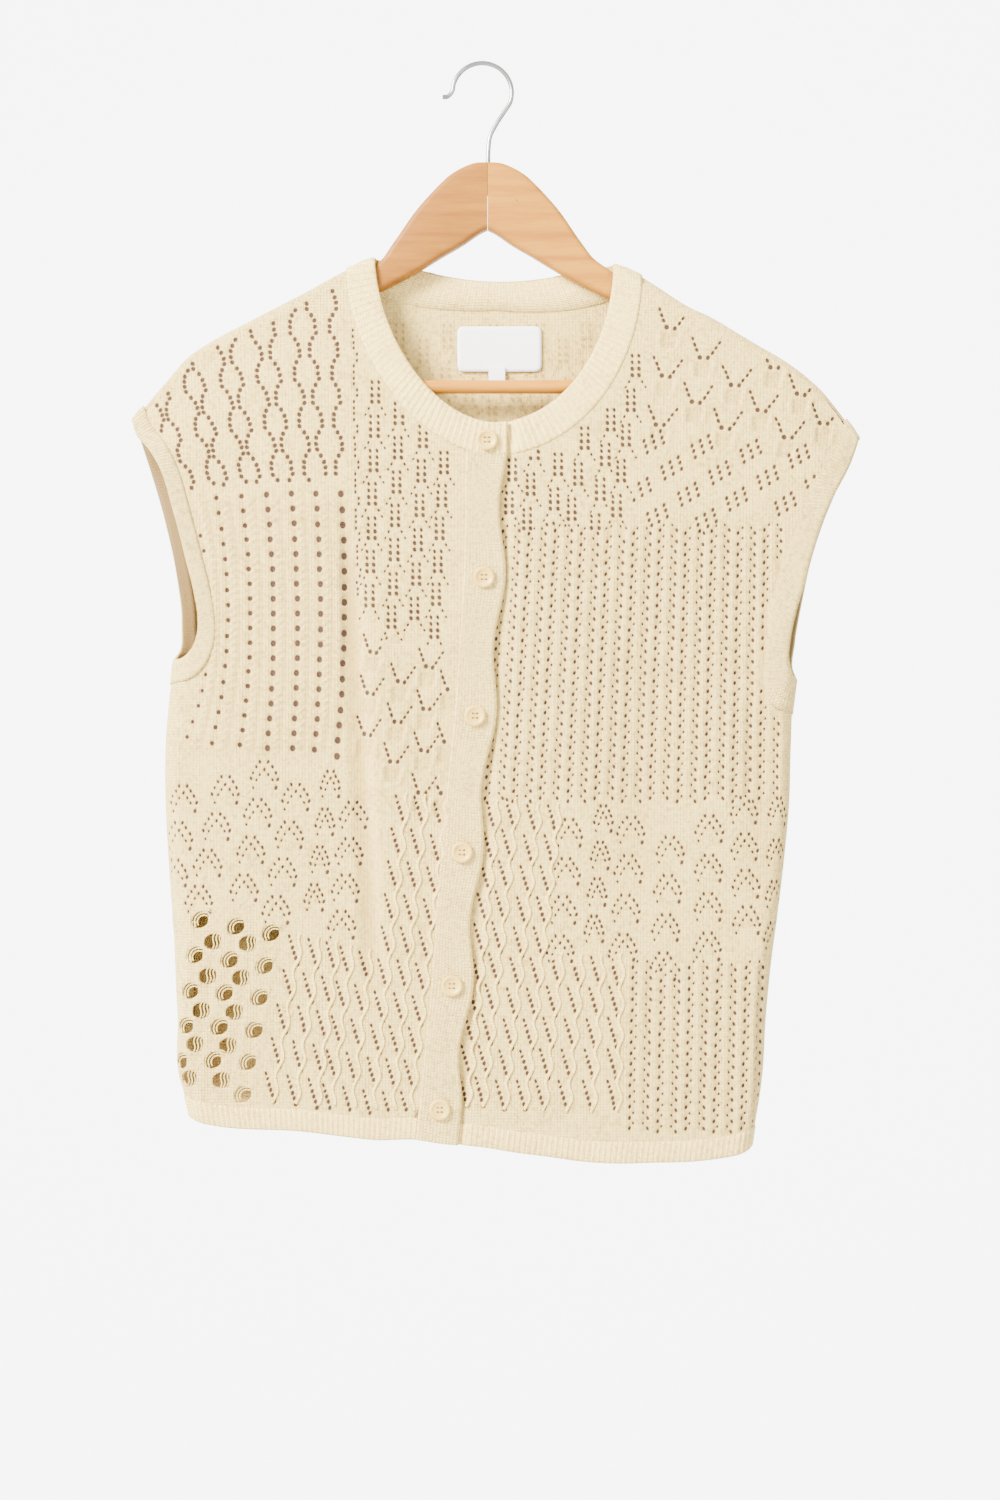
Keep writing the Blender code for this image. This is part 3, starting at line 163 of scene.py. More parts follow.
ARM_EDGE = {
    LEFT: table("face x drop",
                (FRONT, -246.2, 252), (FRONT, -241.5, 263.4), (FRONT, -232.8, 273.3),
                (FRONT, -225.7, 284.6), (FRONT, -215.1, 317.1), (FRONT, -206.6, 350.3),
                (FRONT, -200.3, 376.5), (FRONT, -198.1, 391), (FRONT, -198.9, 404),
                (FRONT, -202.6, 413.5), (FRONT, -208, 419), (0, -217, 421.5),
                (BACK, -214.5, 415), (BACK, -213, 395), (BACK, -217.5, 357),
                (BACK, -225, 321), (BACK, -235, 286), (BACK, -246.2, 252)),
    RIGHT: table("face x drop",
                 (FRONT, 265.4, 265), (FRONT, 258, 282.4), (FRONT, 244, 308.6),
                 (FRONT, 236.8, 325.6), (FRONT, 230.4, 346), (FRONT, 225, 368),
                 (FRONT, 218.5, 391), (FRONT, 214.9, 410), (FRONT, 214.5, 421),
                 (FRONT, 217.4, 431), (0, 221, 436),
                 (BACK, 220, 428), (BACK, 221.5, 408), (BACK, 226, 382),
                 (BACK, 233, 351), (BACK, 242, 322), (BACK, 255, 290), (BACK, 265.4, 265)),
}
ARM_SEAM = {
    LEFT: table("face x drop",
                (FRONT, -238, 242.5), (FRONT, -231.5, 256.8), (FRONT, -223, 267),
                (FRONT, -215, 281), (FRONT, -204.5, 314), (FRONT, -195.8, 348),
                (FRONT, -189.3, 374.5), (FRONT, -186.4, 392), (FRONT, -186.8, 408),
                (FRONT, -191.5, 422), (FRONT, -200, 432), (0, -217, 438.5),
                (BACK, -206, 428), (BACK, -203, 396), (BACK, -208, 357),
                (BACK, -215.5, 319), (BACK, -226, 281), (BACK, -238, 242.5)),
    RIGHT: table("face x drop",
                 (FRONT, 256, 251.6), (FRONT, 246.5, 275.5), (FRONT, 231, 301),
                 (FRONT, 222, 321), (FRONT, 213.5, 343), (FRONT, 205.5, 366),
                 (FRONT, 200, 391), (FRONT, 198, 414), (FRONT, 196.5, 436),
                 (FRONT, 201.0, 451.5), (0, 220, 459),
                 (BACK, 207, 444), (BACK, 208.5, 411), (BACK, 214, 383),
                 (BACK, 222, 349), (BACK, 231.5, 317), (BACK, 244.5, 284),
                 (BACK, 256, 251.6)),
}
print("garment is", SIDES.right.max() - SIDES.left.min(), "mm across the shoulders")

# %% [markdown]
# ## Reading the tables
#
# A smooth curve through a few rows can be made in many ways. A cubic that takes its
# slope from its neighbours never strays far from the rows, and it needs no solver.


# %% Curves through the rows
def smooth(t):
    """0 to 1 with soft ends."""
    t = np.clip(t, 0.0, 1.0)
    return t * t * (3.0 - 2.0 * t)


def through(stations, values, at):
    """The smooth curve through a table's rows, held level past its ends."""
    at = np.asarray(at, float)
    slope = np.gradient(values, stations)
    k = np.clip(np.searchsorted(stations, at) - 1, 0, len(stations) - 2)
    span = stations[k + 1] - stations[k]
    t = np.clip((at - stations[k]) / span, 0.0, 1.0)
    ease = t * t * (3.0 - 2.0 * t)
    start = t * (1.0 - t) ** 2 * span * slope[k]
    end = t * t * (t - 1.0) * span * slope[k + 1]
    return values[k] + ease * (values[k + 1] - values[k]) + start + end


def length_along(points):
    steps = np.linalg.norm(np.diff(points, axis=0), axis=1)
    return np.concatenate(([0.0], np.cumsum(steps)))


def along(points, count):
    """The same line as count + 1 evenly spaced points."""
    points = np.asarray(points, float)
    length = length_along(points)
    at = np.linspace(0.0, length[-1], count + 1)
    return np.stack([np.interp(at, length, column) for column in points.T], axis=1)


def spline(points, samples):
    """A smooth line through points, as many samples as asked for."""
    points = np.asarray(points, float)
    length = length_along(points)
    at = np.linspace(0.0, length[-1], samples)
    return np.stack([through(length, column, at) for column in points.T], axis=1)


# %% [markdown]
# ## The form of the hanging cloth
#
# Real cloth over a hanger turns round the wooden arm at the top and round the wearer's
# side at the edges. Unrolled, it is flat. So a place in the cloth is two lengths, u
# across and v down, measured along the cloth, and one function bends them into space.
# Everything that is sewn on uses the same function and moves out from it.


# %% From cloth lengths to space
def ridge(x):
    return through(RIDGE.x, RIDGE.drop, x)


def crest(x):
    """Radius of the turn over the ridge, smaller past the ends of the hanger."""
    past = smooth((np.abs(np.asarray(x) - HANGER_X) - ARM_REACH) / CREST_FADE)
    return CREST + (TIP_CREST - CREST) * past


def outline(v, hand):
    rim = np.where(hand < 0, through(SIDES.drop, SIDES.left, v),
                   through(SIDES.drop, SIDES.right, v))
    return rim + hand * SIDE_FLARE * (1.0 - smooth((v - FLARE_TOP) / FLARE_FADE))


def side_start(v, hand):
    return outline(v, hand) - hand * SIDE_ROUND


def side_seam(v, hand):
    return side_start(v, hand) + hand * SIDE_ROUND * QUARTER


def forward_sweep(x):
    return -SWEEP * (np.sqrt((x - HANGER_X) ** 2 + SWEEP_SOFT ** 2) - SWEEP_SOFT)


def middle(x, v):
    return forward_sweep(x) * (1.0 - 0.5 * smooth((v - SWEEP_TOP) / SWEEP_FADE))


def half_depth(x, v):
    body = through(DEPTH.drop, DEPTH.half, v)
    top = crest(x)
    return top + (body - top) * smooth((v - ridge(x)) / DEPTH_FADE)


def folds(x, drop, face):
    """How far the soft folds stand out."""
    height = np.zeros(np.broadcast(x, drop).shape)
    for k in range(len(FOLDS.x_top)):
        run = (drop - FOLDS.drop_top[k]) / (FOLDS.drop_low[k] - FOLDS.drop_top[k])
        line = FOLDS.x_top[k] + (FOLDS.x_low[k] - FOLDS.x_top[k]) * run
        across = np.clip(np.abs(x - line) / (2.0 * FOLDS.half_width[k]), 0.0, 1.0)
        profile = 0.5 + 0.5 * np.cos(math.pi * across)
        ends = smooth(run / 0.25) * smooth((1.0 - run) / 0.25)
        height = height + np.where(FOLDS.face[k] == face,
                                   FOLDS.height[k] * profile * ends, 0.0)
    return height


def form(u, v, face):
    """The form itself, at a place measured along the cloth."""
    u, v, face = np.broadcast_arrays(np.asarray(u, float), v, face)
    hand = np.where(u < NECK_X, LEFT, RIGHT)
    start = side_start(v, hand)
    past = hand * (u - start)
    turn = np.clip(past / SIDE_ROUND, 0.0, QUARTER)
    x = np.where(past > 0, start + hand * SIDE_ROUND * np.sin(turn), u)
    radius = crest(x)
    top = ridge(x) + radius
    over = np.clip((top - v) / radius, 0.0, math.pi)
    drop = np.where(v < top, top - radius * np.sin(over), v)
    depth = half_depth(x, np.maximum(v, ridge(x))) * np.cos(turn) * np.cos(over)
    fold = folds(x, drop, face) * np.cos(turn) * smooth((v - top) / FOLD_FADE)
    open_neck = smooth((NECK_HALF + NECK_SPARE - np.abs(x - NECK_X)) / NECK_FADE)
    stand = np.where(face == BACK, NECK_STAND * open_neck * np.sin(over), 0.0)
    y = middle(x, drop) + face * (depth + fold + stand)
    return np.stack([x, y, -drop], axis=-1)


def sheet(u, v, face, out=0.0):
    """The form moved out along its own normal, to the outer side."""
    step = 0.2
    here = form(u, v, face)
    du = form(np.asarray(u) + step, v, face) - form(np.asarray(u) - step, v, face)
    dv = form(u, np.asarray(v) + step, face) - form(u, np.asarray(v) - step, face)
    normal = np.cross(du, dv) * np.asarray(face)[..., None]
    normal = normal / np.maximum(np.linalg.norm(normal, axis=-1, keepdims=True), 1e-9)
    return here + normal * np.asarray(out)[..., None]


def flat(x, drop):
    """A place as the viewer sees it, measured along the cloth instead."""
    x = np.asarray(x, float)
    radius = crest(x)
    top = ridge(x) + radius
    over = np.arcsin(np.clip((top - drop) / radius, 0.0, 1.0))
    v = np.where(drop < top, top - radius * over, drop)
    hand = np.where(x < NECK_X, LEFT, RIGHT)
    start = side_start(v, hand)
    past = np.clip(hand * (x - start) / SIDE_ROUND, 0.0, 1.0)
    u = np.where(past > 0, start + hand * SIDE_ROUND * np.arcsin(past), x)
    return u, v


def from_back(u, v):
    """The same place near the ridge, counted from the back face instead of the front."""
    return u, 2.0 * (ridge(u) + crest(u)) - math.pi * crest(u) - v


print("half depth at the hem:", float(half_depth(0.0, 750.0)), "mm")

# %% [markdown]
# ## Seams and edges
#
# Each piece ends where a maker would sew it: at the neckband, the armhole band, the
# front band, the side, the shoulder and the ribbed hem. These lines are kept apart from
# the pieces, so that two pieces that meet read the same line.


# %% The lines where the pieces meet
def band_middle(drop):
    """The line through the buttons, run straight on to the neck and the hem."""
    line = through(BUTTONS.drop, BUTTONS.x, drop)
    low = np.maximum(np.asarray(drop) - BUTTONS.drop[-1], 0.0)
    return line - BAND_LEAN * low


def band_edge(drop):
    """The free edge of the upper band, pulled in between the buttons."""
    place = np.interp(drop, BUTTONS.drop, np.arange(len(BUTTONS.drop)))
    pull = SCALLOP * np.sin(math.pi * place) ** 2
    return band_middle(drop) + BAND_HALF - pull


def lap(u, v, amount):
    """How far the under front lies back beneath the upper band."""
    free = band_middle(v) + BAND_HALF + 0.5
    return -amount * (1.0 - smooth((u - free) / LAP_FADE))


def hem_low(x, face):
    level = through(HEM.x, HEM.drop, x)
    spread = np.clip((np.asarray(x) - TUCK_FROM) / TUCK_WIDTH, 0.0, 1.0)
    tuck = np.where(face == BACK, TUCK * np.sin(math.pi * spread), 0.0)
    return level - tuck


def neck_edge(hand, widen, count, face):
    """A quarter of the neckline, from the centre to the ridge, widen outside the edge."""
    t = np.linspace(0.0, QUARTER, count)
    half = NECK_HALF + widen
    top = ridge(NECK_X + hand * half)
    if face == FRONT:
        power = 2.0 / NECK_POWER[hand]
        front = widen * NECK_WIDTH_FRONT / NECK_WIDTH
        x = NECK_X + hand * half * np.sin(t) ** power
        drop = top + (NECK_FRONT_DROP + front - top) * np.cos(t) ** power
    else:
        x = NECK_X + hand * half * np.sin(t)
        base = ridge(NECK_X) + (top - ridge(NECK_X)) * np.sin(t)
        if widen:
            drop = base + (NECK_BACK_DIP + widen) * np.cos(t) ** NECK_SEAM_POWER
        else:
            drop = base + NECK_BACK_DIP * (np.cos(t) ** 2) ** NECK_BACK_POWER
    u, v = flat(x, np.maximum(drop, ridge(x)))
    return np.stack([u, v], axis=1)


def neck_seam_drop(x):
    """Lower edge of the neckband near the centre front."""
    ring = np.concatenate([neck_edge(LEFT, NECK_WIDTH, 200, FRONT)[::-1],
                           neck_edge(RIGHT, NECK_WIDTH, 200, FRONT)[1:]])
    return np.interp(x, ring[:, 0], ring[:, 1])


def arm_line(rows, hand, face):
    """One half of an armhole line: the front half from the ridge down to the side seam,
    the back half from the side seam up to the ridge."""
    chosen = (rows.face == face) | (rows.face == 0)
    u, v = flat(rows.x[chosen], rows.drop[chosen])
    u = np.where(rows.face[chosen] == 0, side_seam(v, hand), u)
    return spline(np.stack([u, v], axis=1), 200)


def shoulder_seam_v(u):
    """The shoulder seam, on the front face."""
    radius = crest(u)
    return ridge(u) + radius * (1.0 - np.arcsin(1.0 - SHOULDER_SEAM / radius))


def hem_seam(u, face):
    return hem_low(np.clip(u, HEM_FROM, HEM_TO), face) - HEM_HEIGHT


def front_loop(hand):
    """The whole edge of a front as one closed line."""
    def centre(v):
        offset = -BAND_HALF if hand == LEFT else UNDER_RIGHT
        return band_middle(v) + offset
    ring = neck_edge(hand, NECK_WIDTH, 300, FRONT)
    below = ring[:, 1] > shoulder_seam_v(ring[:, 0])
    past = hand * (ring[:, 0] - centre(ring[:, 1])) > 0
    neck = along(ring[below & past], 90)
    arm = arm_line(ARM_SEAM[hand], hand, FRONT)
    arm = along(arm[arm[:, 1] > shoulder_seam_v(arm[:, 0])], 110)
    top_u = np.linspace(neck[-1, 0], arm[0, 0], 60)
    shoulder = np.stack([top_u, shoulder_seam_v(top_u)], axis=1)
    low_v = hem_seam(side_seam(HEM_SIDE_DROP, hand), FRONT)
    side_v = np.linspace(arm[-1, 1], low_v, 80)
    side = np.stack([side_seam(side_v, hand), side_v], axis=1)
    hem_u = np.linspace(side[-1, 0], centre(HEM_CENTRE_DROP), 60)
    hem = np.stack([hem_u, hem_seam(hem_u, FRONT)], axis=1)
    up_v = np.linspace(hem[-1, 1], neck[0, 1], 60)
    up = np.stack([centre(up_v), up_v], axis=1)
    return np.concatenate([neck, shoulder[1:-1], arm, side[1:], hem[1:-1], up[1:-1]])


def back_loop():
    """The whole edge of the back, over the ridge to the two shoulder seams."""
    halves = {}
    for hand in (LEFT, RIGHT):
        neck = neck_edge(hand, NECK_WIDTH, 120, BACK)
        front = neck_edge(hand, NECK_WIDTH, 300, FRONT)
        near = front[:, 1] < shoulder_seam_v(front[:, 0])
        over = np.stack(from_back(front[near, 0], front[near, 1]), axis=1)[::-1]
        arm = arm_line(ARM_SEAM[hand], hand, BACK)[::-1]
        lead = arm_line(ARM_SEAM[hand], hand, FRONT)
        lead = lead[lead[:, 1] < shoulder_seam_v(lead[:, 0])][::-1]
        lead = np.stack(from_back(lead[:, 0], lead[:, 1]), axis=1)
        top_u = np.linspace(over[-1, 0], lead[0, 0], 40)
        top_v = from_back(top_u, shoulder_seam_v(top_u))[1]
        side_v = np.linspace(arm[-1, 1], hem_seam(side_seam(HEM_SIDE_DROP, hand), BACK), 60)
        side = np.stack([side_seam(side_v, hand), side_v], axis=1)
        halves[hand] = np.concatenate([neck, over[1:], np.stack([top_u, top_v], 1)[1:-1],
                                       lead, arm[1:], side[1:]])
    hem_u = np.linspace(halves[RIGHT][-1, 0], halves[LEFT][-1, 0], 100)
    hem = np.stack([hem_u, hem_seam(hem_u, BACK)], axis=1)
    return np.concatenate([halves[RIGHT], hem[1:-1], halves[LEFT][::-1][:-1]])


print("front edge loops:", len(front_loop(LEFT)), len(front_loop(RIGHT)), len(back_loop()))

# %% [markdown]
# ## The finish of the yarn
#
# Plain knitting is rows of small V shapes. At this size they are too many to model, so
# they are a height worked out from the mesh's own UV map, which counts stitches across
# and rows down. A picture of knitting could be used instead, but a formula stays sharp
# at any distance and follows the cloth round the body.

# %% Node helpers
CREAM = (0.98, 0.715, 0.215)
CREAM_DEEP = (0.46, 0.28, 0.06)
TAN = (0.58, 0.35, 0.085)       # cream yarn lit only by cream yarn
SHADOW = (0.065, 0.023, 0.006)  # the dark seen in an eyelet
STITCH, ROW = 2.0, 2.05         # one stitch across and one row down


def new_material(name, roughness, **constants):
    """A Principled finish. Constants are set on the shader's own sockets."""
    made = bpy.data.materials.new(name)
    made.use_nodes = True
    nodes, links = made.node_tree.nodes, made.node_tree.links
    shader = nodes["Principled BSDF"]
    shader.inputs["Roughness"].default_value = roughness
    for socket, value in constants.items():
        shader.inputs[socket.replace("_", " ")].default_value = value
    return made, nodes, links, shader


def maths(nodes, links, operation, first, second=None):
    """One Math node on sockets or numbers."""
    node = nodes.new("ShaderNodeMath")
    node.operation = operation
    for slot, value in enumerate((first, second)):
        if value is None:
            continue
        if isinstance(value, (int, float)):
            node.inputs[slot].default_value = value
        else:
            links.new(value, node.inputs[slot])
    return node.outputs[0]


def ramp(nodes, links, factor, *stops):
    """A colour ramp with (place, colour) stops."""
    node = nodes.new("ShaderNodeValToRGB")
    while len(node.color_ramp.elements) < len(stops):
        node.color_ramp.elements.new(0.5)
    for element, (place, colour) in zip(node.color_ramp.elements, stops):
        element.position = place
        element.color = (*colour, 1.0)
    links.new(factor, node.inputs["Fac"])
    return node.outputs["Color"]


def knit_material(name, light, deep, height=1.0):
    """Matt cotton yarn: V stitches as bump, painted shade between them, softly mottled."""
    made, nodes, links, shader = new_material(
        name, 0.88, Sheen_Weight=0.12, Sheen_Roughness=0.6, Specular_IOR_Level=0.25)
    place = nodes.new("ShaderNodeUVMap")
    place.uv_map = "stitches"
    split = nodes.new("ShaderNodeSeparateXYZ")
    links.new(place.outputs["UV"], split.inputs[0])

    def calc(operation, first, second=None):
        return maths(nodes, links, operation, first, second)
    across = calc("FRACT", split.outputs["X"])
    leg = calc("ABSOLUTE", calc("SUBTRACT", across, 0.5))
    slant = calc("SUBTRACT", split.outputs["Y"], calc("MULTIPLY", leg, 1.5))
    row_wave = calc("COSINE", calc("MULTIPLY", slant, math.tau))
    leg_wave = calc("COSINE", calc("MULTIPLY", leg, 2.0 * math.tau))
    both = calc("ADD", calc("MULTIPLY", row_wave, 0.24), calc("MULTIPLY", leg_wave, -0.26))
    lift = calc("ADD", both, 0.5)
    fuzz = nodes.new("ShaderNodeTexNoise")
    fuzz.inputs["Scale"].default_value = 1400.0
    fuzz.inputs["Detail"].default_value = 3.0
    geometry = nodes.new("ShaderNodeNewGeometry")
    links.new(geometry.outputs["Position"], fuzz.inputs["Vector"])
    yarn = calc("ADD", lift, calc("MULTIPLY", fuzz.outputs["Fac"], 0.5))
    bump = nodes.new("ShaderNodeBump")
    bump.inputs["Strength"].default_value = 0.9
    bump.inputs["Distance"].default_value = 1.4 * height * MM
    links.new(yarn, bump.inputs["Height"])
    links.new(bump.outputs["Normal"], shader.inputs["Normal"])

    mottle = nodes.new("ShaderNodeTexNoise")
    mottle.inputs["Scale"].default_value = 55.0
    mottle.inputs["Detail"].default_value = 4.0
    links.new(geometry.outputs["Position"], mottle.inputs["Vector"])
    grain = nodes.new("ShaderNodeTexNoise")
    grain.inputs["Scale"].default_value = 420.0
    grain.inputs["Detail"].default_value = 2.0
    links.new(geometry.outputs["Position"], grain.inputs["Vector"])
    cloud = calc("ADD", calc("MULTIPLY", mottle.outputs["Fac"], 0.5),
                 calc("MULTIPLY", grain.outputs["Fac"], 1.8))
    # Where the stitches are low the colour goes to the dark end: painted shade between stitches.
    # The noise adds the yarn's own mottle.
    tone = calc("ADD", calc("MULTIPLY", lift, 0.7), calc("SUBTRACT", cloud, 0.8))
    colour = ramp(nodes, links, tone, (0.0, deep), (0.85, light))
    # The point attribute is a share of painted shade: in eyelets, soft folds, hollows of the
    # relief, purl wedges, band insides and rib valleys. It mixes the colour towards TAN, then
    # SHADOW.
    painted_shade = nodes.new("ShaderNodeAttribute")
    painted_shade.attribute_name = "painted_shade"
    shade = nodes.new("ShaderNodeMix")
    shade.data_type = "RGBA"
    links.new(calc("MULTIPLY", painted_shade.outputs["Fac"], 1.8), shade.inputs["Factor"])
    links.new(colour, shade.inputs[6])
    links.new(ramp(nodes, links, painted_shade.outputs["Fac"], (0.3, TAN), (0.9, SHADOW)),
              shade.inputs[7])
    links.new(shade.outputs[2], shader.inputs["Base Color"])
    return made


# Each yarn's second colour is its dark end: painted shade between the stitches, mixed with the
# yarn's own mottle.
lace_yarn = knit_material("lace_yarn", CREAM, CREAM_DEEP)
plain_yarn = knit_material("plain_yarn", (0.98, 0.72, 0.225), (0.48, 0.30, 0.065))
rib_yarn = knit_material("rib_yarn", (0.99, 0.735, 0.235), (0.56, 0.355, 0.085), height=0.5)
print("yarns:", lace_yarn.name, plain_yarn.name, rib_yarn.name)

# %% [markdown]
# ## A net of small cells
#
# Lace is cloth with holes in it, and the dark inside the holes draws the pattern. Cutting
# thousands of them with booleans would be slow, so the cloth is a net of small square
# cells in its flat state. Where an eyelet goes, the cells under it are left out, and the
# ring of corners round them moves onto an ellipse. A usual eyelet is then closed with a
# small cone in painted shade, which stands for the shadow in the hole, so that nothing
# behind it shines through. Only the openings of the trellis stay open. Last, the net is
# bent into place.


# %% The net
BLOCK_SHARE = 1.15              # half an eyelet to half the block of cells left out for it
SMALL_REACH = 1.65              # how far down the smallest eyelets go at most, in cells
RIM_SHADE = 0.15                # share of shadow at an eyelet's rim
FOLD_SHADE = 0.016              # and in a soft fold, for each square of its depth
HOLLOW_MOST = 0.4               # and in the hollows of the relief, at most


def inside(points, loop):
    """Which points lie inside a closed line, by counting how often a ray crosses it."""
    x, y = points[:, 0], points[:, 1]
    odd = np.zeros(len(points), bool)
    for (x0, y0), (x1, y1) in zip(loop, np.roll(loop, -1, axis=0)):
        if y0 == y1:
            continue
        spans = (y0 > y) != (y1 > y)
        odd ^= spans & (x < (x1 - x0) * (y - y0) / (y1 - y0) + x0)
    return odd


def nearest_on(points, loop):
    """The nearest place on a closed line to each point."""
    start = loop
    run = np.roll(loop, -1, axis=0) - loop
    square = np.maximum((run ** 2).sum(axis=1), 1e-9)
    offset = points[:, None] - start[None]
    t = np.clip((offset * run[None]).sum(axis=2) / square[None], 0.0, 1.0)
    place = start[None] + run[None] * t[..., None]
    best = ((points[:, None] - place) ** 2).sum(axis=2).argmin(axis=1)
    return place[np.arange(len(points)), best]


def make_net(loop, cell):
    """Square cells inside a closed line, with their outer corners moved onto it."""
    low, high = loop.min(axis=0) - 2 * cell, loop.max(axis=0) + 2 * cell
    us = np.arange(low[0], high[0], cell)
    vs = np.arange(low[1], high[1], cell)
    uv = np.stack(np.meshgrid(us, vs), axis=-1)
    centres = (uv[:-1, :-1] + cell / 2).reshape(-1, 2)
    filled = inside(centres, loop).reshape(len(vs) - 1, len(us) - 1)
    touched = np.zeros(uv.shape[:2], int)
    for row in (0, 1):
        for column in (0, 1):
            touched[row:row + filled.shape[0], column:column + filled.shape[1]] += filled
    rim = (touched > 0) & (touched < 4)
    uv[rim] = nearest_on(uv[rim], loop)
    return SimpleNamespace(uv=uv, filled=filled, rim=rim, low=low, cell=cell,
                           depth=np.zeros(uv.shape[:2]), dark=np.zeros(uv.shape[:2]),
                           taken=np.zeros(uv.shape[:2], bool), holes=[])


def shade_hollows(net, relief, face, reach=3, strength=0.55):
    """Less light gets into a soft fold, and where the relief lies below its surroundings."""
    trough = np.maximum(-folds(net.uv[..., 0], net.uv[..., 1], face), 0.0)
    net.dark = np.maximum(net.dark, FOLD_SHADE * trough ** 2)
    padded = np.pad(relief, reach, mode="edge")
    sums = np.zeros(relief.shape)
    for i in range(2 * reach + 1):
        for j in range(2 * reach + 1):
            sums += padded[i:i + relief.shape[0], j:j + relief.shape[1]]
    hollow = sums / (2 * reach + 1) ** 2 - relief
    net.dark = np.maximum(net.dark, np.clip(strength * hollow, 0.0, HOLLOW_MOST))


def ring_of(k):
    """The corners round a block of 2k by 2k cells, in order, as row and column steps."""
    steps = np.arange(-k, k + 1)
    ring = [(i, j) for i in steps for j in steps if max(abs(i), abs(j)) == k]
    return sorted(ring, key=lambda step: math.atan2(step[0], step[1]))


def punch(net, eyelets, sunk=0.5, closed=True, neck=0.85, wall=1.2, shades=(0.85, 1.0)):
    """Leave out the cells under each eyelet and round off what is left. Each eyelet also
    gets a wall with its own shares of painted shade, and an open one narrows to a share of its
    size."""
    cut = 0
    sums = np.zeros(net.uv.shape)
    counts = np.zeros(net.uv.shape[:2])
    taken = net.taken
    for u, v, across, down, tilt in eyelets:
        i = int(round((v - net.low[1]) / net.cell))
        j = int(round((u - net.low[0]) / net.cell))
        k = max(1, int(round(min(across, down) / net.cell / BLOCK_SHARE)))
        for di, dj in ((0, 0), (1, 0), (-1, 0), (0, 1), (0, -1)):
            if not taken[i + di - k:i + di + k + 1, j + dj - k:j + dj + k + 1].any():
                i, j = i + di, j + dj
                break
        else:
            continue
        block = net.filled[max(i - k - 1, 0):i + k + 1, max(j - k - 1, 0):j + k + 1]
        near_rim = net.rim[max(i - k, 0):i + k + 1, max(j - k, 0):j + k + 1]
        inner = net.filled[max(i - k, 0):i + k, max(j - k, 0):j + k]
        if block.size < 4 * (k + 1) ** 2 or near_rim.any() or not inner.all():
            continue
        u, v = (np.array([u, v]) + net.low + net.cell * np.array([j, i])) / 2
        if k == 1:
            down = min(down, SMALL_REACH * net.cell)
        net.filled[i - k:i + k, j - k:j + k] = False
        taken[i - k:i + k + 1, j - k:j + k + 1] = True
        cut += 1
        ring = [(i + di, j + dj) for di, dj in ring_of(k)]
        net.holes.append((u, v, ring, closed, neck, wall, shades))
        turn = np.array([[math.cos(tilt), -math.sin(tilt)], [math.sin(tilt), math.cos(tilt)]])
        for a, b in ring:
            place = turn.T @ (net.uv[a, b] - (u, v))
            angle = math.atan2(place[1] / down, place[0] / across)
            on_rim = turn @ np.array([across * math.cos(angle), down * math.sin(angle)])
            sums[a, b] += on_rim + (u, v)
            counts[a, b] += 1
            net.depth[a, b] = -sunk
            net.dark[a, b] = RIM_SHADE
    moved = counts > 0
    net.uv[moved] = sums[moved] / counts[moved][:, None]
    return cut


def piece(name, points, faces, finish, uv=None, dark=None):
    """An object from points in millimetres and faces, with stitches counted in its UVs
    and a share of shadow at each point."""
    mesh = bpy.data.meshes.new(name)
    mesh.from_pydata((np.asarray(points) * MM).tolist(), [], faces)
    if uv is not None:
        layer = mesh.uv_layers.new(name="stitches")
        corner = np.zeros(len(mesh.loops), int)
        mesh.loops.foreach_get("vertex_index", corner)
        layer.data.foreach_set("uv", np.asarray(uv, np.float32)[corner].ravel())
    # The share of painted shade at each point, which the yarns mix into their colour.
    if dark is not None:
        shade = mesh.attributes.new("painted_shade", "FLOAT", "POINT")
        shade.data.foreach_set("value", np.asarray(dark, np.float32))
    mesh.polygons.foreach_set("use_smooth", [True] * len(mesh.polygons))
    mesh.materials.append(finish)
    made = bpy.data.objects.new(name, mesh)
    bpy.context.scene.collection.objects.link(made)
    return made


def tubes(routes, radius, sides=6):
    """Points and faces of round strands along several lines of points."""
    points, faces, uv = [], [], []
    for route in routes:
        route = np.asarray(route, float)
        ahead = np.gradient(route, axis=0)
        ahead /= np.maximum(np.linalg.norm(ahead, axis=1, keepdims=True), 1e-9)
        side = np.cross(ahead, (0.0, 1.0, 0.0))
        side /= np.maximum(np.linalg.norm(side, axis=1, keepdims=True), 1e-9)
        up = np.cross(side, ahead)
        first = len(points)
        run = length_along(route)
        for here, s, n, gone in zip(route, side, up, run):
            for k in range(sides):
                turn = math.tau * k / sides
                points.append(here + radius * (math.cos(turn) * s + math.sin(turn) * n))
                uv.append((k / sides, gone / ROW))
        for r in range(len(route) - 1):
            for k in range(sides):
                n = (k + 1) % sides
                a, b = first + r * sides, first + (r + 1) * sides
                faces.append((a + k, a + n, b + n, b + k))
        faces.append(tuple(first + k for k in range(sides))[::-1])
        last = first + (len(route) - 1) * sides
        faces.append(tuple(last + k for k in range(sides)))
    return points, faces, uv


def eyelet_walls(net, face, out, first):
    """The walls of all eyelets, in painted shade: a closed one narrows to a point, and an open
    one has an inner ring at a share of its size."""
    places, depths, dark, faces = [], [], [], []
    for u, v, ring, closed, neck, wall, shades in net.holes:
        start = first + len(places)
        count = len(ring)
        middle = np.array([u, v])
        level = np.mean([out[i, j] for i, j in ring])
        for i, j in ring:
            places.append(net.uv[i, j])
            depths.append(out[i, j] + net.depth[i, j])
            dark.append(shades[0])
        ends = [middle] if closed else [middle + (net.uv[i, j] - middle) * neck for i, j in ring]
        places += ends
        depths += [level - wall] * len(ends)
        dark += [shades[1]] * len(ends)
        for k in range(count):
            n = (k + 1) % count
            if closed:
                faces.append((start + n, start + k, start + count))
            else:
                faces.append((start + n, start + k, start + count + k, start + count + n))
    places = np.array(places)
    points = sheet(places[:, 0], places[:, 1], np.full(len(places), face), np.array(depths))
    return points, places, np.array(dark), faces


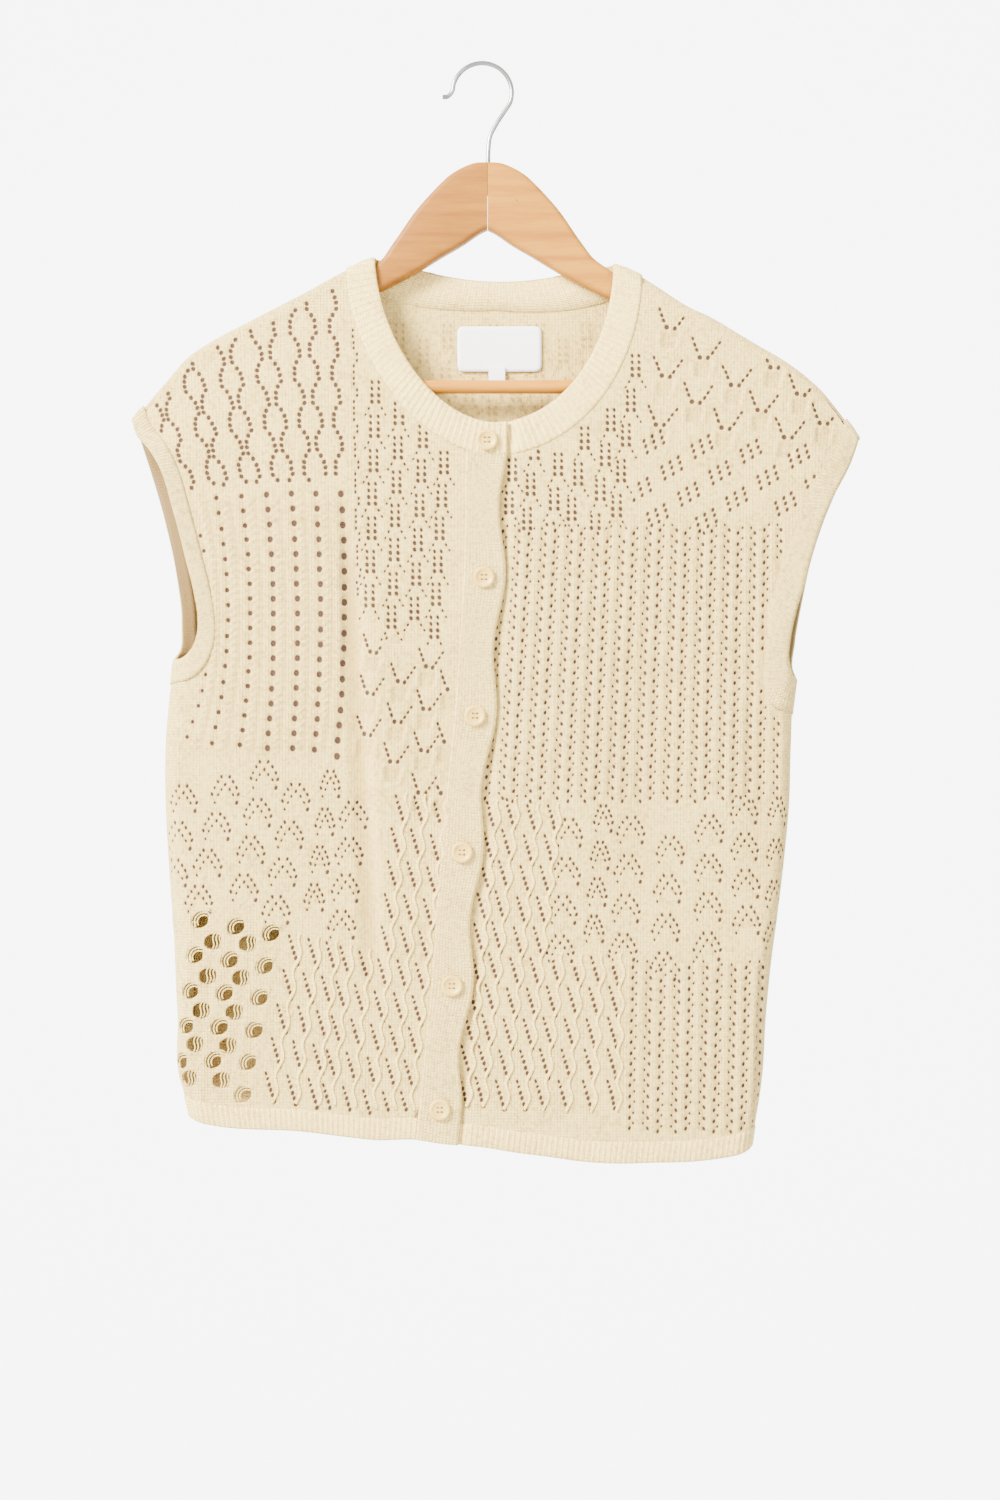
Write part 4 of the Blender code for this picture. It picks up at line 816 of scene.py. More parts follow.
def lay(name, net, face, finish, out, strands=(), extra=()):
    """Bend a net into place, with its eyelets' walls and strands of yarn, as one object."""
    used = np.zeros(net.uv.shape[:2], bool)
    rows, columns = np.nonzero(net.filled)
    for i, j in ((0, 0), (0, 1), (1, 1), (1, 0)):
        used[rows + i, columns + j] = True
    index = np.full(used.shape, -1)
    index[used] = np.arange(used.sum())
    quads = np.stack([index[rows, columns], index[rows, columns + 1],
                      index[rows + 1, columns + 1], index[rows + 1, columns]], axis=1)
    if face == FRONT:
        quads = quads[:, ::-1]
    uv = net.uv[used]
    points = sheet(uv[:, 0], uv[:, 1], np.full(len(uv), face), (out + net.depth)[used])
    dark = net.dark[used]
    faces = quads.tolist()
    more, more_uv, more_dark, more_faces = eyelet_walls(net, face, out, len(points))
    points, uv = np.concatenate([points, more]), np.concatenate([uv, more_uv])
    dark = np.concatenate([dark, more_dark])
    faces += more_faces
    stitches = uv / (STITCH, -ROW)
    for routes, radius in strands:
        more, more_faces, more_uv = tubes(routes, radius)
        shift = len(points)
        points = np.concatenate([points, np.array(more)])
        stitches = np.concatenate([stitches, np.array(more_uv)])
        dark = np.concatenate([dark, np.zeros(len(more))])
        faces += [tuple(k + shift for k in f) for f in more_faces]
    for more, more_faces, more_dark in extra:
        shift = len(points)
        points = np.concatenate([points, more])
        stitches = np.concatenate([stitches, more[:, ::2] / (STITCH, ROW)])
        dark = np.concatenate([dark, more_dark])
        faces += [tuple(k + shift for k in f) for f in more_faces]
    made = piece(name, points, faces, finish, stitches, dark)
    print(name, "has", sum(len(f) - 2 for f in faces), "triangles")
    return made


# %% [markdown]
# ## Charts for the lace
#
# A knitter works lace from a chart: a small block of eyelets that is repeated. Each
# patch of the cardigan has its own chart, and a short table says where its repeats run:
# from a first place down to a last one, and how many. Copying every hole from a picture
# would give the same look but no pattern, and nobody could change it.

# %% Chart helpers
EYELET = 1.5                    # half the size of a usual eyelet
ROUND, SLIM = (0.86, 1.04), (0.73, 1.2)     # shares across and down, upright and slanted


def columns_of(rows):
    """Each repeat's place, from columns that run from a first place to a last one."""
    for x0, d0, x1, d1, count in rows:
        count = int(count)
        for k in range(count):
            t = k / max(count - 1, 1)
            yield x0 + (x1 - x0) * t, d0 + (d1 - d0) * t


def repeat(motif, rows, mirror=1.0, narrow=1.0):
    """A motif's eyelets at every place of a table of columns."""
    found = []
    for x, drop in columns_of(rows):
        for dx, dd, size, tilt in motif:
            found.append((x + mirror * narrow * dx, drop + dd, size, mirror * tilt))
    return found


def to_cloth(found):
    """Eyelets as the viewer sees them, measured along the cloth."""
    eyelets = []
    for x, drop, size, tilt in found:
        u, v = flat(x, drop)
        across, down = SLIM if tilt else ROUND
        eyelets.append((float(u), float(v), size * EYELET * across, size * EYELET * down, tilt))
    return eyelets


# %% [markdown]
# ### Ogees on the right shoulder
#
# Chains of eyelets sway left and right, each against its neighbour, and leave leaf
# shaped panels of plain knitting between them. The chains fan out over the shoulder, so
# each leans a little more than the one before.

# %% Ogees
OGEE_CHAINS = 11
OGEE_SWAY = (0.0, -2.8, -4.6, -5.0, -5.0, -2.4, -0.6, -0.1)
OGEE_STEP = 11.5                # from one chain to the next
OGEE_PERIOD = 33.1
OGEE_FIRST = (-97.7, 274.0)
OGEE_HALF_DROP = 16.6           # every other chain starts lower
OGEE_LEAN = (0.045, 0.028)      # of the first chain, and what each next one adds
OGEE_SIZE = 1.45
OGEE_TILT = (0.6, 0.26)         # upright, and what the sway adds


def ogee_eyelets():
    found = []
    for c in range(OGEE_CHAINS):
        x0 = OGEE_FIRST[0] - OGEE_STEP * c
        drop0 = OGEE_FIRST[1] + (OGEE_HALF_DROP if c % 2 else 0.0) + 0.08 * c * c
        lean = OGEE_LEAN[0] + OGEE_LEAN[1] * c
        step = (OGEE_PERIOD - 0.045 * c * c) / len(OGEE_SWAY)
        for k in range(-30, 8):
            drop = drop0 + k * step
            x = x0 + lean * (drop - drop0) + OGEE_SWAY[k % len(OGEE_SWAY)]
            if drop > ridge(x) + 9.0 and drop < 293.5 + 0.07 * (-97.0 - x):
                tilt = OGEE_TILT[0] + OGEE_TILT[1] * OGEE_SWAY[k % len(OGEE_SWAY)]
                found.append((x, drop, OGEE_SIZE, tilt))
    return found


print("ogee eyelets:", len(ogee_eyelets()))

# %% [markdown]
# ### Columns of large eyelets with ropes between
#
# Under the ogees the eyelets stand in straight columns, larger toward the middle of the
# garment. Rope cables run between the columns. The ropes are relief in the net itself.

# %% Rope columns
ROPES = table("x_top x_middle x_low drop_top drop_low count size",
              (-203.2, -189.0, -205.8, 312.5, 475.0, 16, 0.95),
              (-185.5, -177.5, -188.0, 308.0, 479.2, 17, 1.15),
              (-168.0, -161.7, -168.7, 306.6, 480.5, 18, 1.3),
              (-150.5, -145.6, -149.9, 305.5, 482.6, 18, 1.4),
              (-133.0, -129.0, -132.3, 305.0, 482.6, 18, 1.4),
              (-116.2, -113.0, -116.9, 305.0, 483.6, 18, 1.4),
              (-98.5, -96.4, -101.6, 305.0, 488.2, 18, 1.55))
ROPE_SIZE = 1.1
ROPE_TOP, ROPE_LONG = 305.0, 180.0
ROPE_TWIST = 5.15               # length of one twist


def rope_column(k, t):
    """A rope column's x at a share t of the way down."""
    bow = 4.0 * t * (1.0 - t)
    straight = ROPES.x_top[k] * (1 - t) + ROPES.x_low[k] * t
    return straight + bow * (ROPES.x_middle[k] - (ROPES.x_top[k] + ROPES.x_low[k]) / 2)


def rope_eyelets():
    found = []
    for k in range(len(ROPES.count)):
        count = int(ROPES.count[k])
        for t in np.linspace(0.0, 1.0, count):
            drop = ROPES.drop_top[k] * (1 - t) + ROPES.drop_low[k] * t
            found.append((float(rope_column(k, t)), float(drop), ROPE_SIZE * ROPES.size[k], 0.0))
    return found


def rope_relief(x, drop):
    """Ropes between the columns, twisted twice for each eyelet."""
    t = (drop - ROPE_TOP) / ROPE_LONG
    lines = np.stack([rope_column(k, np.clip(t, 0, 1)) for k in range(len(ROPES.count))])
    place = np.zeros(x.shape)
    for k in range(len(lines) - 1):
        between = (x >= lines[k]) & (x < lines[k + 1])
        place = np.where(between, (x - lines[k]) / (lines[k + 1] - lines[k]), place)
    strand = np.abs(np.sin(math.tau * place))
    twist = np.cos(math.tau * (drop / ROPE_TWIST - 2.2 * np.abs(place - 0.5)))
    height = strand ** 0.7 * (0.9 + 0.5 * twist)
    ends = smooth((t + 0.02) / 0.05) * smooth((1.02 - t) / 0.05)
    return np.where((x > lines[0] - 1) & (x < lines[-1]), height * ends, 0.0)


# %% [markdown]
# ### Arrows
#
# Two nested chevrons of eyelets on plain knitting, point up, set like bricks. They run
# across both fronts, narrower where a fold hides part of them.

# %% Arrows
ARROW = ((-2.9, 0.0, 0.95, -0.15), (2.9, 0.0, 0.95, 0.25),
         (-5.4, 3.4, 0.85, -0.3), (5.4, 3.4, 0.95, -0.3),
         (-7.8, 7.2, 0.8, 0.3), (7.8, 7.2, 0.95, -0.3),
         (-9.4, 11.6, 0.95, -0.3), (9.2, 11.8, 1.0, 0.4),
         (0.0, 5.0, 0.9, 0.3), (-2.9, 8.6, 0.75, 0.1), (3.0, 8.4, 0.85, -0.2),
         (-5.2, 12.6, 0.75, 0.4), (5.4, 12.4, 0.8, -0.5),
         (-7.6, 17.6, 0.75, -0.3), (8.0, 17.8, 1.15, 0.3))
ARROWS_RIGHT_FRONT = ((-208.6, 509, -215, 561, 3), (-179, 503, -197.4, 579, 4),
                      (-151.9, 492.5, -165.9, 571, 4), (-130, 508, -143.5, 586.5, 4),
                      (-90, 520.5, -98, 597, 4))
ARROWS_RIGHT_FOLD = ((-106, 499, -117, 578, 4),)
ARROWS_LEFT_FRONT = ((60.9, 533, 54.6, 614, 4), (104.3, 531, 98.7, 613, 4),
                     (131.6, 545, 126.7, 626, 4), (158.9, 530, 157.5, 612, 4),
                     (183.4, 517, 184.8, 594, 4))
ARROWS_LEFT_FOLD = ((85, 523, 78.4, 600, 4), (207, 518, 204, 605, 4))
FOLDED_WIDTH = 0.7              # share of an arrow's width that a fold leaves


def arrow_eyelets(open_rows, fold_rows):
    return repeat(ARROW, open_rows) + repeat(ARROW, fold_rows, narrow=FOLDED_WIDTH)


# %% [markdown]
# ### Open trellis
#
# In the lower corner the knitter has dropped stitches, and the loose strands ladder
# across large openings. The openings are punched in the net, and each strand is a thin
# tube, because it hangs free.

# %% Trellis
TRELLIS_A = ((-194.2, 604, -207.9, 703, 5), (-169.4, 608.5, -188.3, 725, 6),
             (-144.9, 613.5, -164.5, 725.5, 6))
TRELLIS_B = ((-187, 617.5, -204.5, 713, 5), (-162.9, 619, -181.5, 714, 5),
             (-204.5, 609, -207.5, 630, 2))
OPENING_A, OPENING_B = (6.8, 5.6), (6.8, 5.5)   # half the width and height
TRELLIS_CLEAR = 7.0             # between the lowest place and the hem
TRELLIS_ARCS = (4.5, 6.4, 8.3)  # radii of the loose strands
TRELLIS_PITCH = 12.4            # across, from bar to bar
STRAND_RADIUS = 0.5


def trellis_places(rows):
    return [p for p in columns_of(rows) if p[1] < hem_seam(p[0], FRONT) - TRELLIS_CLEAR]


def trellis_openings():
    found = []
    for rows, shift, size, tilt in ((TRELLIS_A, (-2.4, -1.6), OPENING_A, -0.45),
                                    (TRELLIS_B, (0.0, 0.0), OPENING_B, -0.2)):
        for x, drop in trellis_places(rows):
            u, v = flat(x + shift[0], drop + shift[1])
            found.append((float(u), float(v), *size, tilt))
    return found


def trellis_strands():
    """Arcs over the upper left of one kind, wavy uprights across the right of the other."""
    routes = []
    turn = np.radians(np.linspace(145.0, 305.0, 13))
    t = np.linspace(-1.0, 1.0, 11)
    for x, drop in trellis_places(TRELLIS_A):
        for radius in TRELLIS_ARCS:
            u, v = flat(x + 0.8 + 1.1 * radius * np.cos(turn), drop - 0.4 + radius * np.sin(turn))
            sag = 0.1 - 0.5 * np.sin(np.linspace(0, math.pi, len(turn)))
            routes.append(sheet(u, v, np.full(u.shape, FRONT), sag))
    for x, drop in trellis_places(TRELLIS_B):
        for k in range(3):
            dx = 2.35 * k - 0.1 + 0.8 * np.sin(math.pi * t) - 0.9 * t
            u, v = flat(x + dx, drop + (5.7 - 0.5 * k) * t - 0.3 * k)
            routes.append(sheet(u, v, np.full(u.shape, FRONT), 0.1 - 0.5 * (1 - t * t)))
    return routes


def trellis_relief(x, drop):
    """Plain bars swell a little between the openings."""
    within = smooth((-139.0 - x - 0.16 * (drop - 612)) / 6.0) * smooth((drop - 598.0) / 6.0)
    return 0.5 * within * (0.5 + 0.5 * np.cos(math.tau * (x + 0.17 * drop) / TRELLIS_PITCH))


# %% [markdown]
# ### Leaves
#
# Pairs of short eyelet columns in half drop, with a trail of small eyelets under each
# pair. This chart fills both sides of the neckline and the back of the neck.

# %% Leaves
LEAF = tuple((side * 2.45, -4.6 * k, 1.3 if k < 2 else 1.0, -0.35)
             for side in (-1, 1) for k in range(4)) + (
    (-4.5, 4.6, 0.8, 0.4), (4.5, 4.6, 0.8, -0.4), (-6.9, 8.6, 0.7, 0.5),
    (6.9, 8.6, 0.7, -0.5))
LEAVES_RIGHT_FRONT = ((-74.4, 240.5, -78.8, 383, 7), (-58.1, 255.5, -63.1, 398, 7),
                      (-41.1, 271.5, -47.4, 391.5, 6), (-26.8, 289.5, -33.4, 405, 6))
LEAVES_LEFT_FRONT = ((107.5, 221.5, 94.2, 320, 5), (89.9, 259.5, 79.3, 333, 4),
                     (72, 272.5, 63, 322.5, 3), (53.2, 290.5, 47.8, 339, 3),
                     (36.8, 280, 31.6, 328.5, 3), (21, 294, 18.8, 317, 2))
LEAF_EDGE_FIRST = (-90.3, 190.0)
LEAF_EDGE_STEP = 4.2
LEAVES_RIGHT_END, LEAVES_LEFT_END = 412, 329    # where the leaves stop


def leaf_edge_eyelets():
    """The half repeat along the edge of the leaves, beside the rope columns."""
    found = []
    for k in range(45):
        drop = LEAF_EDGE_FIRST[1] + LEAF_EDGE_STEP * k
        shift = 2.2 if k % 6 in (4, 5) else 0.0
        x = LEAF_EDGE_FIRST[0] + 0.016 * (drop - LEAF_EDGE_FIRST[1]) + shift
        found.append((x, drop, 0.85, 0.1))
    return found


# %% [markdown]
# ### Fans
#
# Each V of eyelets opens over a wedge of purl stitches, with a ridge on either flank.

# %% Fans
FAN = ((-2.7, 0.0, 1.4, 0.0), (2.9, 0.5, 1.35, 0.35),
       (-4.8, -4.8, 1.2, -0.3), (-6.2, -8.8, 1.15, -0.3), (-7.8, -12.8, 1.0, -0.2),
       (5.9, -2.9, 1.05, 0.5), (8.6, -6.6, 1.0, 0.6), (11.3, -10.3, 1.0, 0.6))
FANS_LEFT_FRONT = ((132.3, 187.9, 124.6, 256.5, 3), (155.4, 208.9, 149.5, 240.7, 2),
                   (176.8, 228.5, 170.1, 258.9, 2), (204.8, 215.9, 195.3, 246.7, 2),
                   (223.3, 234.8, 213.5, 265.6, 2), (239.4, 255.1, 239.4, 255.1, 1))
FAN_SMALL = tuple((0.85 * dx, 0.95 * dd, 0.9 * size, tilt) for dx, dd, size, tilt in FAN)
FANS_RIGHT_FRONT = ((-37.1, 425.5, -42, 513.5, 4), (-56.7, 436, -61.6, 492, 3),
                    (-21.9, 441.5, -26.6, 514.5, 3), (-76.3, 415.5, -80.5, 473, 3))
WEDGE_WIDE, WEDGE_LONG = 6.6, 16.0


def fan_relief(net, rows):
    """A sunk wedge of purl under each V between two ridges, with painted shade in the wedge."""
    x, drop = net.uv[..., 0], net.uv[..., 1]
    height = np.zeros(x.shape)
    for cx, cd in columns_of(rows):
        dx, dd = x - cx + 0.12 * (drop - cd), drop - cd
        near = (np.abs(dx) < 16) & (dd > -16) & (dd < 22)
        a, b = dx[near], dd[near]
        along_it = smooth((b - 1.5) / 4.0) * smooth((WEDGE_LONG - b) / 3.0)
        wide = WEDGE_WIDE - 0.12 * b
        wedge = along_it * smooth((wide - np.abs(a)) / 1.6)
        ripple = 0.25 * np.cos(math.tau * b / 3.6) * np.cos(math.tau * a / 3.9)
        flank = along_it * np.exp(-((np.abs(a) - wide - 1.8) / 1.5) ** 2)
        arm = np.exp(-((np.abs(a) + 0.75 * b - 2.5) / 1.6) ** 2) * smooth(-b / 3.0)
        height[near] += wedge * (-0.8 + 1.6 * ripple) + 0.9 * flank + 0.5 * arm
        # Painted shade in the sunk wedge, rippled with its stitches.
        net.dark[near] = np.maximum(net.dark[near], wedge * (0.09 - 0.22 * ripple))
    return height


# %% [markdown]
# ### Groups of three short diagonals
#
# Three slanted rows of three eyelets make a group, and the groups are laid like bricks
# that climb toward the armhole.

# %% Diagonal groups
GROUP_FIRST = (147.0, 271.2)
GROUP_ACROSS = (33.6, 3.5)
GROUP_DOWN = (12.1, 18.3)
GROUP_LINE = (5.7, -3.3)
GROUP_EYELET = (1.2, 4.05)
GROUPS_FROM, GROUPS_TO, GROUPS_LOW = 103.0, 232.0, 325.0    # where the patch ends


def group_eyelets():
    found = []
    for row in range(4):
        for column in range(-2, 3):
            x0 = GROUP_FIRST[0] + GROUP_ACROSS[0] * column + GROUP_DOWN[0] * row
            d0 = GROUP_FIRST[1] + GROUP_ACROSS[1] * column + GROUP_DOWN[1] * row
            if x0 < GROUPS_FROM or x0 > GROUPS_TO or d0 > GROUPS_LOW:
                continue
            for line in range(3):
                for k in range(3):
                    found.append((x0 + GROUP_LINE[0] * line + GROUP_EYELET[0] * k,
                                  d0 + GROUP_LINE[1] * line + GROUP_EYELET[1] * k, 1.08, 0.3))
    return found


# %% [markdown]
# ### Herringbone
#
# Narrow columns of slanted eyelet pairs, one leaning left and the next leaning right,
# with a fine ridge between. This is the largest patch of the two fronts.

# %% Herringbone
HERRING_PITCH = 7.5             # down the column


def herringbone(x_top, step_top, drop_top, x_low, step_low, drop_low, count):
    """Columns that spread between an upper and a lower line."""
    found = []
    for k in range(count):
        for drop in np.arange(drop_top, drop_low, HERRING_PITCH):
            t = (drop - drop_top) / (drop_low - drop_top)
            x = (x_top + step_top * k) * (1 - t) + (x_low + step_low * k) * t
            lean = 1.0 if k % 2 else -1.0
            shift = 0.25 * HERRING_PITCH if k % 4 > 1 else 0.0
            found.append((x - lean * 1.5, drop + shift - 2.2, 0.72, lean * -0.3))
            found.append((x + lean * 1.3, drop + shift + 1.6, 1.0, lean * -0.3))
    return found


def herringbone_relief(x, drop, x_top, step_top, drop_top, x_low, step_low, drop_low, count):
    """Fine ridges half way between the columns."""
    t = np.clip((drop - drop_top) / (drop_low - drop_top), 0.0, 1.0)
    first = x_top * (1 - t) + x_low * t
    step = step_top * (1 - t) + step_low * t
    place = (x - first) / step
    ends = smooth((drop - drop_top + 4) / 5.0) * smooth((drop_low + 2 - drop) / 5.0)
    within = smooth((place + 0.8) / 0.5) * smooth((count - 0.3 - place) / 0.5)
    return 0.6 * ends * within * (-np.cos(math.tau * place))


HERRING_BODY = (16.1, 9.13, 329.0, 3.5, 9.6, 518.0, 22)
HERRING_LOW = (106.8, 9.85, 634.0, 104.0, 9.75, 750.0, 10)

# %% [markdown]
# ### Waves
#
# Short diagonals of six eyelets step down the cloth, and a raised cord winds between
# one column and the next. The cords are tubes laid on the net.

# %% Waves
WAVES_RIGHT_FRONT = ((-60.2, 516.5, -82.3, 722, 10), (-46.9, 517, -68.6, 723.5, 10),
                     (-32.9, 522, -56, 723.5, 10), (-134.4, 614, -150.5, 709.5, 5),
                     (-121.1, 616.5, -135.1, 711.5, 5), (-108.5, 619, -120.5, 714, 5),
                     (-98.4, 622, -110.7, 718, 5), (-85.4, 625.5, -96.6, 719.5, 5))
WAVES_LEFT_FRONT = ((3.5, 521, -16.0, 713, 10), (16.8, 519, -4.5, 713, 10),
                    (32.2, 523, 10.2, 715.5, 10), (46.2, 523, 24.5, 715.5, 10),
                    (48.3, 628, 37.8, 715, 5), (62.3, 629, 53.9, 715.5, 5),
                    (76.3, 629, 70.7, 715.5, 5), (89.6, 628, 87.5, 715, 5))
WAVE = tuple((1.13 * k, 3.85 * k, size, tilt) for k, (size, tilt) in enumerate((
    (0.95, -0.25), (0.9, 0.7), (1.15, 0.45), (1.2, 0.2), (1.15, 0.2), (1.4, 0.6))))
WAVE_SWAY = 1.7
CORD_BESIDE = 8.4               # from a column of diagonals to its cord
CORD_RADIUS = 1.25
CORD_SUNK = 0.15


def wave_cords(rows, reach):
    """A cord beside each column of diagonals, in step with it."""
    routes = []
    for x0, d0, x1, d1, count in rows:
        period = (d1 - d0) / (count - 1)
        drop = np.arange(d0 - 2.0, min(d1 + period, 727.0 + 0.07 * (x1 + 200)), 2.0)
        t = (drop - d0) / (d1 - d0)
        phase = (drop - d0) / period
        x = x0 + (x1 - x0) * t + reach + WAVE_SWAY * np.sin(math.tau * (phase - 0.28))
        u, v = flat(x, drop)
        routes.append(sheet(u, v, np.full(u.shape, FRONT), np.full(u.shape, -CORD_SUNK)))
    return routes


print("wave eyelets:", len(repeat(WAVE, WAVES_RIGHT_FRONT)) + len(repeat(WAVE, WAVES_LEFT_FRONT)))

# %% [markdown]
# ## The two fronts
#
# Each front is one net with all its charts. The cell is about a third of the distance
# between two close eyelets, so that an eyelet keeps a ring of corners to itself. One that
# would run into its neighbour or into the edge is left out.

# %% The fronts
FRONT_CELL = 1.15


def keep(found, test):
    return [e for e in found if test(e[0], e[1])]


def right_front():
    net = make_net(front_loop(LEFT), FRONT_CELL)
    x, drop = net.uv[..., 0], net.uv[..., 1]
    out = rope_relief(x, drop) + trellis_relief(x, drop) + fan_relief(net, FANS_RIGHT_FRONT)
    shade_hollows(net, out, FRONT)
    found = (ogee_eyelets() + rope_eyelets()
             + arrow_eyelets(ARROWS_RIGHT_FRONT, ARROWS_RIGHT_FOLD)
             + keep(repeat(LEAF, LEAVES_RIGHT_FRONT), lambda x, d: d < LEAVES_RIGHT_END)
             + leaf_edge_eyelets() + repeat(FAN_SMALL, FANS_RIGHT_FRONT)
             + repeat(WAVE, WAVES_RIGHT_FRONT))
    cut = punch(net, trellis_openings(), sunk=0.4, closed=False, neck=0.95, wall=1.7,
                shades=(0.15, 0.35))
    cut += punch(net, to_cloth(found))
    print("right front: eyelets punched", cut, "of", len(found) + len(trellis_openings()))
    strands = ((trellis_strands(), STRAND_RADIUS),
               (wave_cords(WAVES_RIGHT_FRONT, CORD_BESIDE), CORD_RADIUS))
    made = lay("lace_front_right", net, FRONT, lace_yarn, out, strands)
    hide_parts("front_right")


def left_front():
    net = make_net(front_loop(RIGHT), FRONT_CELL)
    x, drop = net.uv[..., 0], net.uv[..., 1]
    out = (fan_relief(net, FANS_LEFT_FRONT)
           + herringbone_relief(x, drop, *HERRING_BODY)
           + herringbone_relief(x, drop, *HERRING_LOW))
    shade_hollows(net, out, FRONT)
    out = out + lap(x, drop, LAP)
    found = (keep(repeat(LEAF, LEAVES_LEFT_FRONT), lambda x, d: d < LEAVES_LEFT_END)
             + repeat(FAN, FANS_LEFT_FRONT) + group_eyelets()
             + herringbone(*HERRING_BODY) + herringbone(*HERRING_LOW)
             + arrow_eyelets(ARROWS_LEFT_FRONT, ARROWS_LEFT_FOLD)
             + repeat(WAVE, WAVES_LEFT_FRONT))
    cut = punch(net, to_cloth(found))
    print("left front: eyelets punched", cut, "of", len(found))
    strands = ((wave_cords(WAVES_LEFT_FRONT, CORD_BESIDE), CORD_RADIUS),)
    made = lay("lace_front_left", net, FRONT, lace_yarn, out, strands)
    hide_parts("front_left")


right_front()
left_front()

# %% [markdown]
# ## The back
#
# The back has a plainer patchwork in larger blocks: leaves below the neck, diagonal
# groups under them, herringbone at both sides, arrows and waves lower down. It reaches
# over the ridge to the shoulder seams, which lie on the front. Its cell is larger than
# the fronts', which keeps the number of faces down.

# %% The back
BACK_CELL = 1.7
BACK_SUNK = 0.8                 # the whole net lies this much inside the solid's face
BACK_HALF, BACK_LOW = 206, 728  # no eyelet lies further out or lower than this
# The sheet of painted shade lies this far inside the back's face.
SHADE_SHEET_IN = 2.6                 # from the back's face to the shaded ground inside
BACK_LEAVES = tuple((x, 196.0 + 11.5 * (k % 2), x - 2.0, 329.0 + 11.5 * (k % 2), 6)
                    for k, x in enumerate(np.arange(-92.0, 112.0, 16.6)))
BACK_HERRING_LEFT = (-196.0, 9.3, 262.0, -192.0, 9.3, 470.0, 11)
BACK_HERRING_RIGHT = (112.0, 9.3, 262.0, 108.0, 9.3, 470.0, 11)
BACK_ARROWS = tuple((x, 500.0 + 14.0 * (k % 2), x, 585.0 + 14.0 * (k % 2), 4)
                    for k, x in enumerate(np.arange(-192.0, 192.0, 26.5)))
BACK_WAVES = tuple((x, 624.0, x - 10.0, 704.0, 4) for x in np.arange(-188.0, 190.0, 15.5))
BACK_GROUP = tuple((1.2 * k + 5.7 * line, 4.05 * k - 3.3 * line, 0.85, 0.3)
                   for line in range(3) for k in range(3))
BACK_GROUPS = tuple((x, 362.0 + 12.0 * (k % 2), x - 1.0, 458.0 + 12.0 * (k % 2), 5)
                    for k, x in enumerate(np.arange(-86.0, 100.0, 22.0)))


def painted_shade_sheet():
    """A sheet of painted shade just inside the back, where the open trellis looks in on it."""
    columns, rows = 14, 24
    x, drop = np.meshgrid(np.linspace(-206.0, -134.0, columns), np.linspace(588.0, 728.0, rows))
    inside_of = np.full(x.shape, -SHADE_SHEET_IN)
    points = sheet(x, drop, np.full(x.shape, BACK), inside_of).reshape(-1, 3)
    faces = [(r * columns + c, (r + 1) * columns + c, (r + 1) * columns + c + 1,
              r * columns + c + 1) for r in range(rows - 1) for c in range(columns - 1)]
    # Painted shade, darker row by row towards the hem.
    return points, faces, np.repeat(np.linspace(0.2, 0.5, rows), columns)


def back_piece():
    net = make_net(back_loop(), BACK_CELL)
    x, drop = net.uv[..., 0], net.uv[..., 1]
    out = (herringbone_relief(x, drop, *BACK_HERRING_LEFT)
           + herringbone_relief(x, drop, *BACK_HERRING_RIGHT)) - BACK_SUNK
    shade_hollows(net, out, BACK)
    found = (repeat(LEAF, BACK_LEAVES) + herringbone(*BACK_HERRING_LEFT)
             + herringbone(*BACK_HERRING_RIGHT) + repeat(BACK_GROUP, BACK_GROUPS)
             + repeat(ARROW, BACK_ARROWS) + repeat(WAVE, BACK_WAVES))
    found = keep(found, lambda x, d: abs(x) < BACK_HALF and d < BACK_LOW)
    cut = punch(net, to_cloth(found), shades=(0.34, 0.5))
    print("back: eyelets punched", cut, "of", len(found))
    made = lay("lace_back", net, BACK, lace_yarn, out, extra=(painted_shade_sheet(),))
    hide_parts("back")


back_piece()

# %% [markdown]
# ## Bands
#
# The armhole bands are plain knitting, folded double. A folded band is a flat tube: outer
# side, rolled edge, inner side. So it is made as rows of points round its section, closed
# into a ring, and never as a flat strip. The two front bands are made in the same way, to
# give them a thickness and round edges.


# %% Bands as flat tubes
def loft(name, rings, finish, uv_scale, closed_ends=False, turned=False, dark=None):
    """A skin through rings of points. Rings close on themselves."""
    rings = np.asarray(rings)
    count, around = rings.shape[:2]
    points = rings.reshape(-1, 3)
    faces = []
    runs = count if closed_ends else count - 1
    for r in range(runs):
        a, b = r * around, ((r + 1) % count) * around
        for k in range(around):
            n = (k + 1) % around
            faces.append((a + k, a + n, b + n, b + k))
    if not closed_ends:
        faces.append(tuple(range(around))[::-1])
        faces.append(tuple(range((count - 1) * around, count * around)))
    run = length_along(rings[:, 0])
    girth = length_along(rings[count // 2])
    grid_run, grid_girth = np.meshgrid(run, girth, indexing="ij")
    pair = (grid_girth, grid_run) if not turned else (grid_run, grid_girth)
    uv = np.stack([pair[0] / uv_scale[0], pair[1] / uv_scale[1]], axis=-1).reshape(-1, 2)
    if dark is not None:
        dark = np.asarray(dark, float)
        dark = dark.ravel() if dark.ndim > 1 else np.repeat(dark, around)
    made = piece(name, points, faces, finish, uv, dark)
    print(name, "has", len(faces), "faces")
    return made


def section(width_steps, plump, thick, roll):
    """A folded band's section: shares across, from edge to seam and back, with heights."""
    rows = [(-roll, -thick * 0.5)]
    for t in np.linspace(0.0, 1.0, width_steps):
        rows.append((t, 0.5 + plump * math.sin(math.pi * (0.12 + 0.76 * t))))
    for t in np.linspace(1.0, 0.0, 4):
        rows.append((t, -thick))
    return rows


EDGE_SHADE, INSIDE_SHADE = 0.12, 0.55   # on a band's rolled edge and on its inner side


